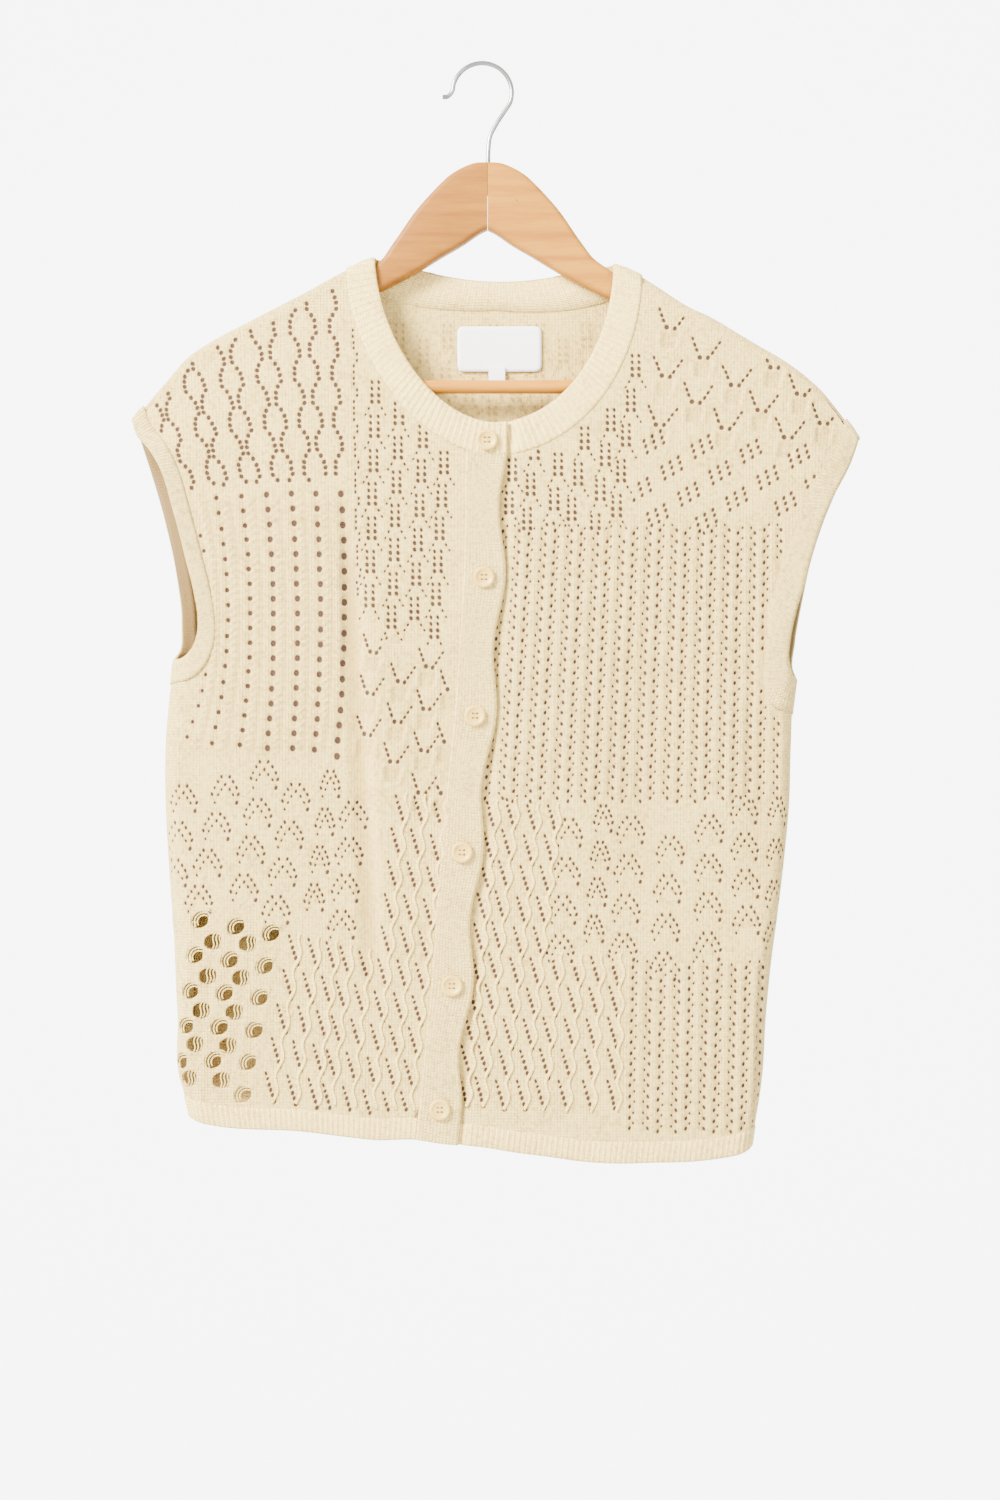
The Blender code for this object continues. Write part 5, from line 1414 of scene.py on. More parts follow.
def arm_band(hand):
    rings = []
    halves = []
    for face in (FRONT, BACK):
        edge = along(arm_line(ARM_EDGE[hand], hand, face), 130)
        seam = along(arm_line(ARM_SEAM[hand], hand, face), 130)
        halves.append((edge, seam, face))
    for t, out in section(7, 0.7, 1.9, 0.05):
        line = []
        for edge, seam, face in halves:
            place = edge * (1 - t) + seam * t
            line.append(sheet(place[:, 0], place[:, 1], np.full(len(place), face),
                              np.full(len(place), out)))
        rings.append(np.concatenate([line[0][:-1], line[1][:-1]]))
    rings = np.array(rings).transpose(1, 0, 2)
    shades = np.tile([EDGE_SHADE] + [0.0] * 7 + [INSIDE_SHADE] * 4, (len(rings), 1))
    if hand == RIGHT:
        rings, shades = rings[:, ::-1], shades[:, ::-1]
    name = "armband_right" if hand == LEFT else "armband_left"
    made = loft(name, rings, plain_yarn, (STITCH, ROW), closed_ends=True, dark=shades)
    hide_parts("armhole_band_right" if hand == LEFT else "armhole_band_left")


def front_band_piece():
    top = float(neck_seam_drop(band_middle(BAND_TOP)))
    low = float(hem_low(band_middle(BAND_LOW), FRONT))
    drops = np.linspace(top, low, 330)
    left, right = band_middle(drops) - BAND_HALF, band_edge(drops)
    rings = []
    for t, out in section(13, 0.45, 1.7, 0.03):
        t = 1.0 - t if t > -0.01 else 1.03
        u = left + (right - left) * t
        start, end = float(neck_seam_drop(u[0])) - 0.8, float(hem_low(u[-1], FRONT))
        v = start + (drops - top) * (end - start) / (low - top)
        rings.append(sheet(u, v, np.full(len(u), FRONT), np.full(len(u), out)))
    rings = np.array(rings).transpose(1, 0, 2)
    made = loft("band_buttonholes", rings[:, ::-1], plain_yarn, (ROW, STITCH), turned=True)
    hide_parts("buttonhole_band")


def under_band_piece():
    top = float(neck_seam_drop(band_middle(BAND_TOP))) + 0.5
    low = float(hem_low(band_middle(BAND_LOW), FRONT)) - 2.0
    drops = np.linspace(top, low, 120)
    left, right = band_middle(drops) + UNDER_LEFT, band_middle(drops) + UNDER_RIGHT
    rings = []
    for t, out in section(5, 0.1, 1.5, 0.03):
        u = left + (right - left) * t
        rings.append(sheet(u, drops, np.full(len(u), FRONT), np.full(len(u), out - LAP)))
    rings = np.array(rings).transpose(1, 0, 2)
    made = loft("band_buttons", rings, plain_yarn, (ROW, STITCH), turned=True)
    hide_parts("button_band")


arm_band(LEFT)
arm_band(RIGHT)
front_band_piece()
under_band_piece()

# %% [markdown]
# ## Ribbing
#
# Ribs run across the neckband and down the hem. They show from a step away, so they are
# real: four points to a rib, high and low in turn. The neckband is one strip that starts
# on top, at the front band's free edge, goes round the neck and ends under its own start.


# %% Neckband and hem
def neck_lines(mix):
    """The neckband's line at a share of its width, from the upper end to the lower."""
    lines = []
    for widen in (0.0, NECK_WIDTH):
        start = neck_edge(RIGHT, widen, 300, FRONT)
        left = neck_edge(LEFT, widen, 300, FRONT)[1:]
        lines.append([(start[start[:, 0] < band_edge(267.0)][::-1], FRONT, 0),
                      (left, FRONT, 0),
                      (neck_edge(LEFT, widen, 300, BACK)[::-1][1:], BACK, 0),
                      (neck_edge(RIGHT, widen, 300, BACK)[1:], BACK, 0),
                      (start[::-1][1:], FRONT, 1),
                      (left[left[:, 0] > -9.0], FRONT, 1)])
    for (edge, face, sunk), (seam, _, _) in zip(*lines):
        size = max(len(edge), len(seam))
        place = along(edge, size) * (1 - mix) + along(seam, size) * mix
        depth = lap(place[:, 0], place[:, 1], NECK_LAP) if sunk else np.zeros(len(place))
        yield place, face, depth


def neck_row(mix, out, columns):
    joined = np.concatenate([sheet(place[:, 0], place[:, 1], np.full(len(place), face),
                                   depth + out) for place, face, depth in neck_lines(mix)])
    return along(joined, columns)


def neckband_piece():
    ribs = 136
    columns = 4 * ribs
    wave = RIB_HEIGHT * np.array([0.0, 0.6, 1.0, 0.6] * ribs + [0.0])[:, None]
    rings = []
    for mix, out, rib in ((-0.04, -1.0, 0.0), (0.0, 0.0, 0.7), (0.09, 0.15, 1.0),
                          (0.25, 0.1, 1.0), (0.5, 0.1, 1.0), (0.75, 0.1, 1.0),
                          (0.93, 0.15, 1.0), (1.03, -0.1, 0.7), (1.0, -2.0, 0.0),
                          (0.5, -2.1, 0.0), (0.0, -1.9, 0.0)):
        base, crown = neck_row(mix, 0.0, columns), neck_row(mix, 1.0, columns)
        outward = crown - base
        outward /= np.linalg.norm(outward, axis=1, keepdims=True)
        rings.append(base + outward * (out + rib * wave))
    rings = np.array(rings).transpose(1, 0, 2)
    valleys = VALLEY * (1.0 - wave[:, 0] / RIB_HEIGHT)
    made = loft("ribbed_neckband", rings[:, ::-1], rib_yarn, (ROW, STITCH), dark=valleys)
    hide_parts("neckband")


def hem_piece(name, node, start, end, face, under=False):
    """A stretch of ribbed hem between two edges, each with its upper and lower place."""
    ribs = round(abs(end[0] - start[0]) / RIB_PITCH)
    t = np.linspace(0.0, 1.0, 4 * ribs + 1)
    wave = RIB_HEIGHT * np.array([0.0, 0.6, 1.0, 0.6] * ribs + [0.0])
    rings = []
    for share, out, rib in ((-0.02, -0.1, 0.6), (0.1, 0.15, 1.0), (0.35, 0.1, 1.0),
                            (0.65, 0.1, 1.0), (0.92, 0.1, 0.9), (1.0, -0.4, 0.4),
                            (0.98, -1.4, 0.0), (0.5, -1.8, 0.0), (0.0, -1.8, 0.0)):
        u_high, u_low = start[0] + (end[0] - start[0]) * t, start[1] + (end[1] - start[1]) * t
        u = u_high * (1 - share) + u_low * share
        low = hem_low(np.clip(u, HEM_FROM, HEM_TO), face)
        v = low - HEM_HEIGHT * (1 - share)
        sunk = lap(u, v, LAP) if under else 0.0
        rings.append(sheet(u, v, np.full(len(u), face), out + rib * wave + sunk))
    rings = np.array(rings).transpose(1, 0, 2)
    forward = (end[0] > start[0]) == (face == FRONT)
    valleys = VALLEY * (1.0 - wave / RIB_HEIGHT)
    made = loft(name, rings[:, ::-1] if forward else rings, rib_yarn, (ROW, STITCH),
                dark=valleys)
    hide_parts(node)


neckband_piece()
left_side = [float(side_seam(drop, LEFT)) for drop in (728.0, 743.0)]
right_side = [float(side_seam(drop, RIGHT)) for drop in (750.0, 765.0)]
band_left = [float(band_middle(drop)) - BAND_HALF + 0.4 for drop in (742.0, 757.0)]
under_right = [float(band_middle(drop)) + UNDER_RIGHT + 0.3 for drop in (745.0, 760.0)]
hem_piece("hem_right", "hem_rib_front_right", band_left, left_side, FRONT)
hem_piece("hem_left", "hem_rib_front_left", under_right, right_side, FRONT, under=True)
hem_piece("hem_back", "hem_rib_back", left_side, right_side, BACK)

# %% [markdown]
# ## Buttons
#
# A turned button is a profile spun round: a rounded rim, a shallow dish and a flat
# middle with four holes. The thread goes down one hole and up the next in two bars, and
# the dish is clear enough to show it.

# %% Turned buttons with thread
BUTTON_PROFILE = ((0.0, 1.75), (1.0, 1.75), (3.4, 1.8), (4.4, 2.0), (5.0, 2.45), (5.6, 2.75),
                  (6.3, 2.85), (6.9, 2.7), (7.3, 2.3), (7.5, 1.8), (7.45, 1.1), (7.1, 0.5),
                  (6.3, 0.15), (0.0, 0.1))
HOLE_APART, HOLE_RADIUS = 1.55, 0.78
BUTTON_SIDES = 40
DIAGONAL = 1.414                # of a square with a side of 1
STAND_ON_RIBS, STAND_ON_BAND = 1.35, 0.95   # how far out a button's back lies
THREAD_RADIUS, THREAD_END = 0.07, 0.74
THREAD_BROWN = (0.44, 0.17, 0.03, 1.0)


def button_finish():
    made, nodes, links, shader = new_material(
        "button_cream", 0.38, Coat_Weight=0.08, Coat_Roughness=0.2, Specular_IOR_Level=0.3)
    geometry = nodes.new("ShaderNodeNewGeometry")
    swirl = nodes.new("ShaderNodeTexNoise")
    swirl.inputs["Scale"].default_value = 160.0
    swirl.inputs["Detail"].default_value = 3.0
    links.new(geometry.outputs["Position"], swirl.inputs["Vector"])
    colour = ramp(nodes, links, swirl.outputs["Fac"],
                  (0.3, (0.60, 0.37, 0.075)), (0.7, (0.73, 0.50, 0.12)))
    links.new(colour, shader.inputs["Base Color"])
    return made


def button_mesh(finish):
    """The spun profile, with the holes bored by a boolean."""
    bm = bmesh.new()
    rings = []
    for radius, height in BUTTON_PROFILE[1:-1]:
        rings.append([bm.verts.new((radius * math.cos(math.tau * k / BUTTON_SIDES) * MM,
                                    -height * MM,
                                    radius * math.sin(math.tau * k / BUTTON_SIDES) * MM))
                      for k in range(BUTTON_SIDES)])
    for a, b in zip(rings, rings[1:]):
        for k in range(BUTTON_SIDES):
            n = (k + 1) % BUTTON_SIDES
            bm.faces.new((a[k], a[n], b[n], b[k]))
    bm.faces.new(rings[0])
    bm.faces.new(rings[-1])
    bmesh.ops.recalc_face_normals(bm, faces=bm.faces)
    mesh = bpy.data.meshes.new("turned_button")
    bm.to_mesh(mesh)
    bm.free()
    mesh.materials.append(finish)
    return mesh


def hole_cutter():
    bm = bmesh.new()
    for k in range(4):
        turn = math.radians(45 + 90 * k)
        x, z = (DIAGONAL * HOLE_APART * f(turn) for f in (math.cos, math.sin))
        made = bmesh.ops.create_cone(bm, cap_ends=True, segments=14, depth=6 * MM,
                                     radius1=HOLE_RADIUS * MM, radius2=HOLE_RADIUS * MM)
        bmesh.ops.rotate(bm, verts=made["verts"], cent=(0, 0, 0),
                         matrix=Matrix.Rotation(QUARTER, 3, "X"))
        bmesh.ops.translate(bm, verts=made["verts"], vec=(x * MM, -1.4 * MM, z * MM))
    mesh = bpy.data.meshes.new("hole_cutter")
    bm.to_mesh(mesh)
    bm.free()
    return mesh


def bored_button():
    """One button mesh with its holes, worked out once for all six."""
    finish = button_finish()
    body = bpy.data.objects.new("button_body", button_mesh(finish))
    cutter = bpy.data.objects.new("button_cutter", hole_cutter())
    for item in (body, cutter):
        bpy.context.scene.collection.objects.link(item)
    cut = body.modifiers.new("holes", "BOOLEAN")
    cut.operation = "DIFFERENCE"
    cut.object = cutter
    cut.solver = "EXACT"
    seen = body.evaluated_get(bpy.context.evaluated_depsgraph_get())
    mesh = bpy.data.meshes.new_from_object(seen)
    mesh.name = "bored_button"
    for item in (body, cutter):
        bpy.data.objects.remove(item, do_unlink=True)
    mesh.polygons.foreach_set("use_smooth", [True] * len(mesh.polygons))
    mesh.set_sharp_from_angle(angle=math.radians(50))
    return mesh


def thread_points(place):
    """Two bars of two strands across the holes, and the ends that fill them."""
    bars, ends = [], []
    t = np.linspace(-1.0, 1.0, 9)
    for bar in (-1, 1):
        for strand in (-0.2, 0.2):
            x = HOLE_APART * 1.02 * t
            z = np.full(t.shape, bar * HOLE_APART + strand)
            y = -1.7 - 0.3 * (1 - t ** 4)
            bars.append(np.stack([x, y, z], axis=1) + place)
        for side in (-1, 1):
            end = np.array([[side * HOLE_APART, y, bar * HOLE_APART] for y in (-0.5, -1.1, -1.72)])
            ends.append(end + place)
    return bars, ends


mesh_of_button = bored_button()
button_places = []
for k, (x, drop) in enumerate(zip(BUTTONS.x, BUTTONS.drop)):
    stand = STAND_ON_RIBS if k == 0 else STAND_ON_BAND
    place = sheet(np.array([x]), np.array([drop]), np.array([FRONT]), np.array([stand]))[0]
    button_places.append(place)
    made = bpy.data.objects.new(f"turned_button_{k + 1}", mesh_of_button)
    bpy.context.scene.collection.objects.link(made)
    made.location = place * MM
    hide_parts(f"button_{k + 1}")
    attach(made, BODY)
bars = [route for place in button_places for route in thread_points(place)[0]]
ends = [route for place in button_places for route in thread_points(place)[1]]
sewing_thread, _, _, thread_shader = new_material("sewing_thread", 0.7)
thread_shader.inputs["Base Color"].default_value = THREAD_BROWN
bar_points, bar_faces, bar_uv = tubes(bars, THREAD_RADIUS)
end_points, end_faces, end_uv = tubes(ends, THREAD_END, 10)
end_faces = [tuple(k + len(bar_points) for k in f) for f in end_faces]
sewing = piece("button_thread", bar_points + end_points, bar_faces + end_faces, sewing_thread,
               bar_uv + end_uv)
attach(sewing, BODY)
print("buttons:", len(button_places), "each with", len(mesh_of_button.polygons), "faces")

# %% [markdown]
# ## The woven label and its tab
#
# Both are bare white tape. The weave is a fine bump with painted shade where it is low,
# and the corners are rounded as a heat cutter leaves them.


# %% Label and tab
def tape_finish():
    made, nodes, links, shader = new_material("white_tape", 0.55, Sheen_Weight=0.1,
                                              Specular_IOR_Level=0.3)
    geometry = nodes.new("ShaderNodeNewGeometry")
    weave = nodes.new("ShaderNodeTexWave")
    weave.inputs["Scale"].default_value = 900.0
    weave.bands_direction = "Z"
    cross = nodes.new("ShaderNodeTexWave")
    cross.inputs["Scale"].default_value = 900.0
    for node in (weave, cross):
        links.new(geometry.outputs["Position"], node.inputs["Vector"])
    both = maths(nodes, links, "MULTIPLY", weave.outputs["Fac"], cross.outputs["Fac"])
    bump = nodes.new("ShaderNodeBump")
    bump.inputs["Distance"].default_value = 0.08 * MM
    bump.inputs["Strength"].default_value = 0.5
    links.new(both, bump.inputs["Height"])
    links.new(bump.outputs["Normal"], shader.inputs["Normal"])
    # The colour is a little darker where the weave is low: painted shade between the threads.
    colour = ramp(nodes, links, both, (0.0, (0.80, 0.80, 0.77)), (0.6, (0.88, 0.88, 0.86)))
    links.new(colour, shader.inputs["Base Color"])
    return made


white_tape = tape_finish()


def tape(name, node, centre, width, top, height, depth, corner):
    """A rounded rectangle of tape, a closed slab that follows the inside of the back."""
    across, down = 25, 15
    grid = np.stack(np.meshgrid(np.linspace(-1, 1, across), np.linspace(-1, 1, down)), -1)
    half = np.array([width / 2, height / 2])
    place = grid * half
    over = np.maximum(np.abs(place) - (half - corner), 0.0)
    length = np.linalg.norm(over, axis=-1, keepdims=True)
    square = np.maximum(over.max(axis=-1, keepdims=True), 1e-9)
    place = np.where(length > 1e-9,
                     np.sign(place) * (np.minimum(np.abs(place), half - corner)
                                       + over * square / np.maximum(length, 1e-9)), place)
    u, v = place[..., 0] + centre, place[..., 1] + top + height / 2
    where = np.full(u.shape, BACK)
    points = [sheet(u, v, where, np.full(u.shape, -depth - side)) for side in (0.0, 0.4)]
    flat_points = np.concatenate([p.reshape(-1, 3) for p in points])
    size = across * down
    faces = []
    for r in range(down - 1):
        for c in range(across - 1):
            a = r * across + c
            quad = (a, a + 1, a + across + 1, a + across)
            faces.append(quad)
            faces.append(tuple(k + size for k in quad)[::-1])
    rim = (list(range(across)) + [r * across + across - 1 for r in range(1, down)]
           + [(down - 1) * across + c for c in range(across - 2, -1, -1)]
           + [r * across for r in range(down - 2, 0, -1)])
    for a, b in zip(rim, rim[1:] + rim[:1]):
        faces.append((b, a, a + size, b + size))
    made = piece(name, flat_points, faces, white_tape)
    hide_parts(node)
    return made


label = tape("woven_label", "neck_label", centre=12.2, width=60.0, top=182.6, height=32.0,
             depth=2.4, corner=4.0)
tab = tape("woven_tab", "size_tab", centre=10.5, width=11.8, top=211.0, height=12.6,
           depth=3.8, corner=0.8)
for item in (label, tab):
    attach(item, BODY)
print("label and tab:", label.name, tab.name)

# %% [markdown]
# ## The wooden hanger
#
# The two halves are sawn from beech, rounded with a cutter and joined with a mitre at
# the middle. Their outline is the solids' own outline read through a smooth curve. Long
# stretched noise makes the grain, and one half is a shade darker than the other because
# it comes from another board.

# %% Grain
WOOD_HALF, WOOD_ROUND, WOOD_BELOW = 6.0, 4.0, 4.3
JOINT_GAP, BAR_GAP = 0.12, 0.4  # at the mitre, and from the bar's end to the arm's foot
FOOT_X, BAR_DROP, BAR_RADIUS = 190.0, 228.3, 4.7
HUMP = table("x drop", (0, 69), (9, 69.6), (19, 73.5), (27, 78.5), (34, 85), (42, 93.5),
             (49, 101.5), (56, 111), (62, 120))
HUMP_END = {LEFT: ((68, 128.5), (74, 137.3), (78, 141.2)),
            RIGHT: ((68, 128.5), (75, 137.5), (82, 142.7), (88.5, 147.2))}


def wood_finish(name, pale, dark, tilt, knots=()):
    """Beech with a long grain along the arm, small flecks and a few knots."""
    made, nodes, links, shader = new_material(name, 0.5, Coat_Weight=0.04, Coat_Roughness=0.4,
                                              Specular_IOR_Level=0.2)
    geometry = nodes.new("ShaderNodeNewGeometry")

    def stretched(turn, scale, noise_scale, detail):
        mapping = nodes.new("ShaderNodeMapping")
        mapping.inputs["Rotation"].default_value = (0.0, turn, 0.0)
        mapping.inputs["Scale"].default_value = scale
        links.new(geometry.outputs["Position"], mapping.inputs["Vector"])
        noise = nodes.new("ShaderNodeTexNoise")
        noise.inputs["Scale"].default_value = noise_scale
        noise.inputs["Detail"].default_value = detail
        links.new(mapping.outputs["Vector"], noise.inputs["Vector"])
        return noise.outputs["Fac"]
    long_grain = stretched(tilt, (2.0, 30.0, 30.0), 5.0, 5.0)
    fine = stretched(tilt, (14.0, 160.0, 160.0), 6.0, 3.0)
    tone = maths(nodes, links, "ADD", maths(nodes, links, "MULTIPLY", long_grain, 0.8),
                 maths(nodes, links, "MULTIPLY", fine, 0.25))
    colour = ramp(nodes, links, tone, (0.35, dark), (0.68, pale))
    for x, drop, radius in knots:
        offset = nodes.new("ShaderNodeVectorMath")
        offset.operation = "DISTANCE"
        offset.inputs[1].default_value = (x * MM, -0.006, -drop * MM)
        links.new(geometry.outputs["Position"], offset.inputs[0])
        near = nodes.new("ShaderNodeMapRange")
        near.inputs["From Min"].default_value = radius * 0.5 * MM
        near.inputs["From Max"].default_value = radius * MM
        near.inputs["To Min"].default_value = 1.0
        near.inputs["To Max"].default_value = 0.0
        links.new(offset.outputs["Value"], near.inputs["Value"])
        mix = nodes.new("ShaderNodeMix")
        mix.data_type = "RGBA"
        links.new(near.outputs["Result"], mix.inputs["Factor"])
        links.new(colour, mix.inputs[6])
        mix.inputs[7].default_value = (0.20, 0.08, 0.035, 1.0)
        colour = mix.outputs[2]
    links.new(colour, shader.inputs["Base Color"])
    bump = nodes.new("ShaderNodeBump")
    bump.inputs["Distance"].default_value = 0.1 * MM
    bump.inputs["Strength"].default_value = 0.4
    links.new(fine, bump.inputs["Height"])
    links.new(bump.outputs["Normal"], shader.inputs["Normal"])
    return made


wood_right = wood_finish("beech_right", (0.285, 0.112, 0.006), (0.185, 0.060, 0.003),
                         math.radians(30), ((24.0, 97.0, 1.2),))
wood_left = wood_finish("beech_left", (0.40, 0.168, 0.010), (0.28, 0.100, 0.005),
                        math.radians(-30), ((24.5, 97.0, 1.1), (89.6, 149.5, 2.6)))
wood_bar = wood_finish("beech_bar", (0.52, 0.22, 0.008), (0.34, 0.12, 0.004), 0.0)
print("woods:", wood_right.name, wood_left.name, wood_bar.name)


# %% The arms
def arm_corners(hand):
    """The outline's runs: the smooth top, the foot, and the smooth underside."""
    top = [(HANGER_X + hand * x, drop) for x, drop in zip(HUMP.x, HUMP.drop)]
    top += [(HANGER_X + hand * x, drop) for x, drop in HUMP_END[hand]]
    top += [(HANGER_X + hand * r, float(ridge(HANGER_X + hand * r)) + WOOD_BELOW)
            for r in (96, 110, 130, 150, 170, 190, 203)]
    end = float(ridge(HANGER_X + hand * 203)) + WOOD_BELOW
    tip = [(HANGER_X + hand * (ARM_REACH - 2), end + 7), (HANGER_X + hand * ARM_REACH, end + 16),
           (HANGER_X + hand * (ARM_REACH - 2), end + 25),
           (HANGER_X + hand * (ARM_REACH - 8), end + 31)]
    foot_x = HANGER_X + hand * FOOT_X
    foot = [(foot_x, end + 33), (foot_x, float(ridge(foot_x)) + WOOD_BELOW + 21.0)]
    under = [(HANGER_X + hand * r, float(ridge(HANGER_X + hand * r)) + WOOD_BELOW + 22.0)
             for r in (165, 140, 115, 92)]
    belly = ((75, 160), (60, 152.5), (45, 144), (32, 136), (16, 126.5), (5, 119), (0, 116.5))
    under += [(HANGER_X + hand * x, drop) for x, drop in belly]
    return spline(top + tip, 120), np.array(foot), spline(foot[1:] + under, 90)[1:]


def arm_piece(hand, finish):
    """The outline as rings from front to back, inset where the edges are rounded."""
    points = np.concatenate(arm_corners(hand))
    at_joint = np.abs(points[:, 0] - HANGER_X) < 0.01
    points[:, 0] += hand * np.where(at_joint, JOINT_GAP, 0.0)
    tangent = np.roll(points, -1, axis=0) - np.roll(points, 1, axis=0)
    tangent /= np.linalg.norm(tangent, axis=1, keepdims=True)
    inward = np.stack([-tangent[:, 1], tangent[:, 0]], axis=1) * hand
    inward[at_joint] = [[0.0, 1.0], [0.0, -1.0]]
    turns = np.radians(np.linspace(0, 90, 6))
    steps = [(1 - math.sin(t), 1 - math.cos(t)) for t in turns]
    rings = []
    for side, order in ((-1, steps), (1, steps[::-1])):
        for inset, back in order:
            y = side * (WOOD_HALF - WOOD_ROUND * back)
            line = points + inward * WOOD_ROUND * inset
            rings.append(np.stack([line[:, 0], y + forward_sweep(line[:, 0]), -line[:, 1]], 1))
    count = len(points)
    faces = []
    for r in range(len(rings) - 1):
        for k in range(count):
            n = (k + 1) % count
            faces.append((r * count + k, r * count + n, (r + 1) * count + n, (r + 1) * count + k))
    faces.append(tuple(range(count))[::-1])
    faces.append(tuple(range((len(rings) - 1) * count, len(rings) * count)))
    if hand == LEFT:
        faces = [f[::-1] for f in faces]
    name = "beech_arm_right" if hand == LEFT else "beech_arm_left"
    made = piece(name, np.concatenate(rings), faces, finish)
    made.data.set_sharp_from_angle(angle=math.radians(45))
    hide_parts("hanger_arm_right" if hand == LEFT else "hanger_arm_left")
    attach(made, BODY)


def rod(name, line, radius, sides, finish):
    points, faces, uv = tubes([line], radius, sides)
    made = piece(name, points, faces, finish, uv)
    made.data.set_sharp_from_angle(angle=math.radians(60))
    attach(made, BODY)
    return made


arm_piece(LEFT, wood_right)
arm_piece(RIGHT, wood_left)
bar_y = -SWEEP * FOOT_X
bar_half = FOOT_X - BAR_GAP
bar_line = [(HANGER_X + bar_half * t, bar_y, -BAR_DROP) for t in np.linspace(-1, 1, 40)]
bar = rod("beech_bar", bar_line, BAR_RADIUS, 28, wood_bar)
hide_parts("hanger_bar")

# %% [markdown]
# ## The steel hook
#
# Bent from one piece of plated wire. The route is the solid's own: up out of the wood,
# across, round over the rail and out to a small flare.

# %% Hook
HOOK_WIRE, HOOK_RADIUS = 1.6, 21.0


def steel_finish():
    made, nodes, links, shader = new_material("plated_steel", 0.32, Metallic=1.0)
    geometry = nodes.new("ShaderNodeNewGeometry")
    noise = nodes.new("ShaderNodeTexNoise")
    noise.inputs["Scale"].default_value = 90.0
    links.new(geometry.outputs["Position"], noise.inputs["Vector"])
    colour = ramp(nodes, links, noise.outputs["Fac"],
                  (0.35, (0.20, 0.20, 0.195)), (0.65, (0.30, 0.30, 0.29)))
    links.new(colour, shader.inputs["Base Color"])
    return made


hook_low = [(4.2, -92.0), (4.2, -84.0), (4.2, -72.0), (4.4, -60.0), (5.6, -50.5),
            (10.0, -41.5), (15.2, -33.5)]
hook_arc = [(HOOK_RADIUS * math.cos(math.radians(a)),
             HOOK_WIRE - HOOK_RADIUS + HOOK_RADIUS * math.sin(math.radians(a)))
            for a in range(-16, 177, 12)]
hook_tip = [(-22.6, -20.5), (-25.0, -22.3), (-28.0, -22.2)]
hook_route = spline([(x, 0.0, z) for x, z in hook_low + hook_arc + hook_tip], 110)
hook = rod("steel_hook", hook_route, HOOK_WIRE, 16, steel_finish())
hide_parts("hanger_hook")

# %% [markdown]
# ## The cloth pieces and their flat sizes
#
# Each cloth piece rides on the one body of the part. The table gives an estimate of its
# size when it lies flat, before it is hung. The estimates are low for four pieces:
# measured flat, the lace panels are 12 to 23 percent larger in area, and the neckband is
# 8 percent longer.

CUT = {
    "lace_front_right": ((0.215, 0.590), 0.084),
    "lace_front_left": ((0.230, 0.610), 0.099),
    "lace_back": ((0.500, 0.610), 0.230),
    "armband_right": ((0.013, 0.390), None),
    "armband_left": ((0.018, 0.390), None),
    "band_buttonholes": ((0.027, 0.482), None),
    "band_buttons": ((0.018, 0.480), None),
    "ribbed_neckband": ((0.019, 0.520), None),
    "hem_right": ((0.015, 0.182), None),
    "hem_left": ((0.015, 0.222), None),
    "hem_back": ((0.015, 0.420), None),
    "woven_label": ((0.032, 0.060), None),
    "woven_tab": ((0.0118, 0.0126), None),
}
for name, (size, area) in CUT.items():
    cloth = bpy.data.objects[name]
    if cloth.parent is None:
        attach(cloth, BODY)
print("cloth pieces declared:", len(CUT))

# %% [markdown]
# ## Camera, light and backdrop
#
# The camera looks straight at the garment from a short distance, level with its middle.
# A large soft light from the front left gives the gentle shade on the right sides, and a
# weaker one from the front right fills it.

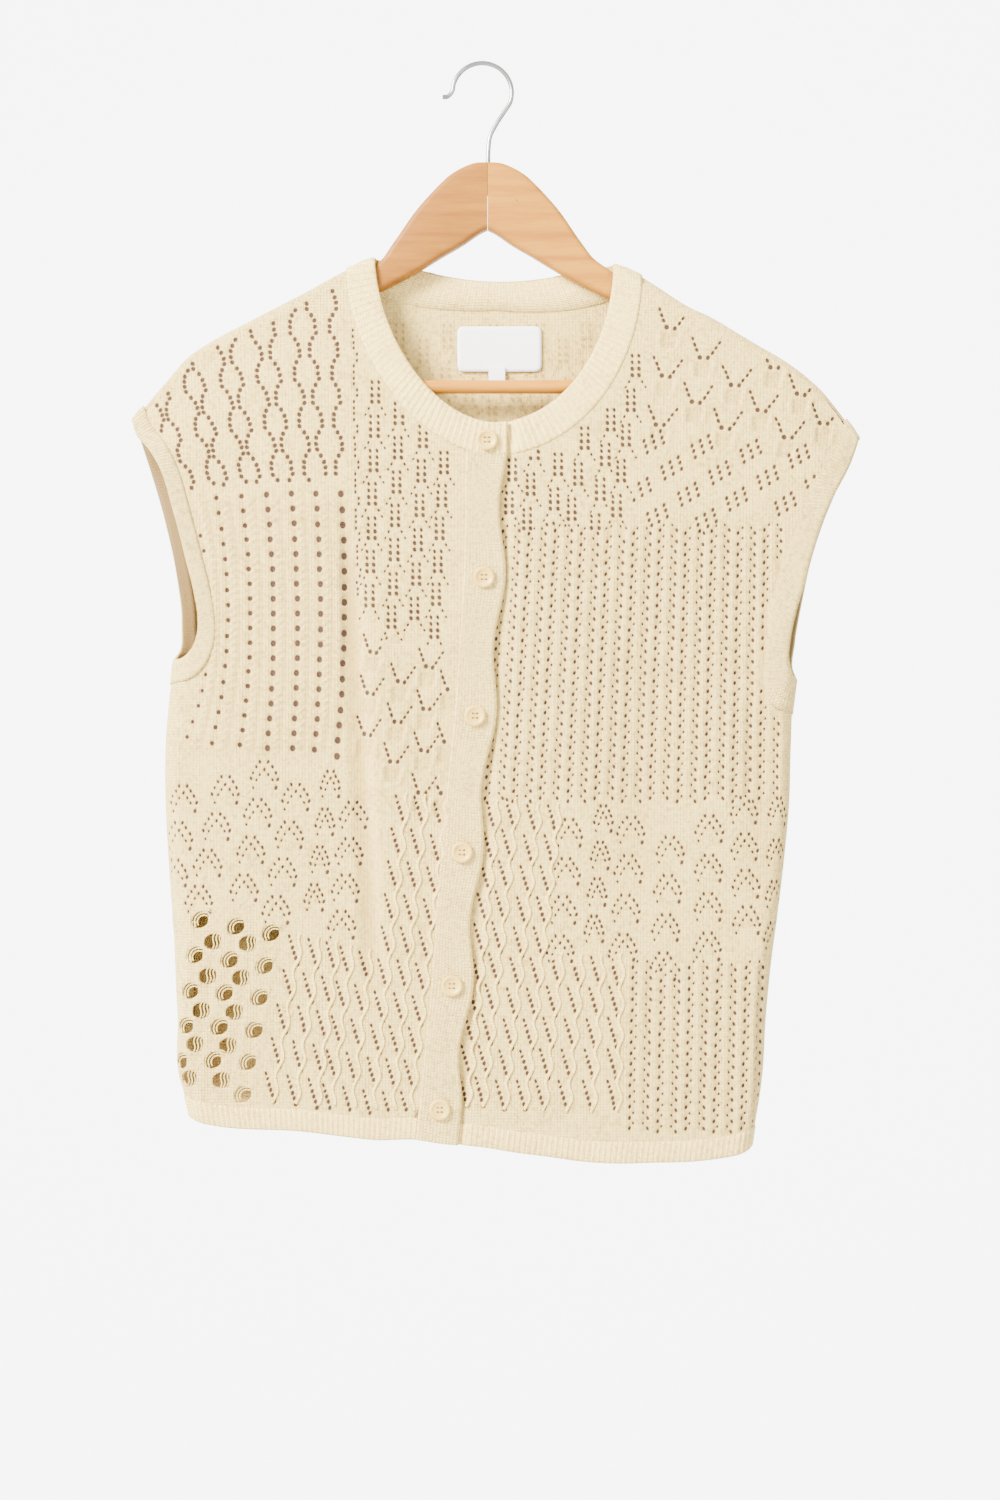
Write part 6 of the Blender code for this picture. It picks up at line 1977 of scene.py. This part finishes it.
# %% Camera
camera_data = bpy.data.cameras.new("camera")
camera_data.lens = 50.0
camera_data.sensor_width = 36.0
camera = bpy.data.objects.new("camera", camera_data)
bpy.context.scene.collection.objects.link(camera)
camera.location = (0.0126, -1.473, -0.484)
camera.rotation_euler = (QUARTER, 0.0, 0.0)
bpy.context.scene.camera = camera
print("camera stands", -camera.location.y, "m in front")


# %% Light
def soft_light(name, place, aim, size, watts, colour=(1.0, 1.0, 1.0)):
    data = bpy.data.lights.new(name, "AREA")
    data.shape = "RECTANGLE"
    data.size, data.size_y = size
    data.energy = watts
    data.color = colour
    made = bpy.data.objects.new(name, data)
    bpy.context.scene.collection.objects.link(made)
    made.location = place
    made.rotation_euler = (Vector(aim) - Vector(place)).to_track_quat("-Z", "Y").to_euler()


GARMENT = (0.0, 0.0, -0.45)
soft_light("key", (-1.7, -1.5, 0.9), GARMENT, (0.9, 0.9), 500.0, (1.0, 0.98, 0.94))
soft_light("fill", (1.4, -2.2, -0.3), GARMENT, (1.4, 1.6), 45.0)
world = bpy.data.worlds.new("studio")
bpy.context.scene.world = world
world.use_nodes = True
sky = world.node_tree.nodes["Background"]
sky.inputs["Color"].default_value = (0.97, 0.985, 0.975, 1.0)
sky.inputs["Strength"].default_value = 2.2


# %% [markdown]
# The backdrop is plain and pale, well behind the garment, and glows evenly like a sheet
# of paper lit from behind. The floor is plain too, well below the hem.

# %% Backdrop and floor


def plain_board(name, corners, shade, glow=0.0):
    mesh = bpy.data.meshes.new(name)
    mesh.from_pydata(corners, [], [(0, 1, 2, 3)])
    made = bpy.data.objects.new(name, mesh)
    bpy.context.scene.collection.objects.link(made)
    pale, _, _, shader = new_material(name + "_paper", 0.8)
    shader.inputs["Base Color"].default_value = (*shade, 1.0)
    shader.inputs["Emission Color"].default_value = (0.985, 1.0, 0.985, 1.0)
    shader.inputs["Emission Strength"].default_value = glow
    mesh.materials.append(pale)


plain_board("backdrop", [(-4.0, 5.0, -4.5), (4.0, 5.0, -4.5), (4.0, 5.0, 4.0), (-4.0, 5.0, 4.0)],
            (0.85, 0.86, 0.85), glow=5.2)
plain_board("floor", [(-2.5, -3.0, -1.5), (2.5, -3.0, -1.5), (2.5, 1.1, -1.5), (-2.5, 1.1, -1.5)],
            (0.6, 0.6, 0.59))
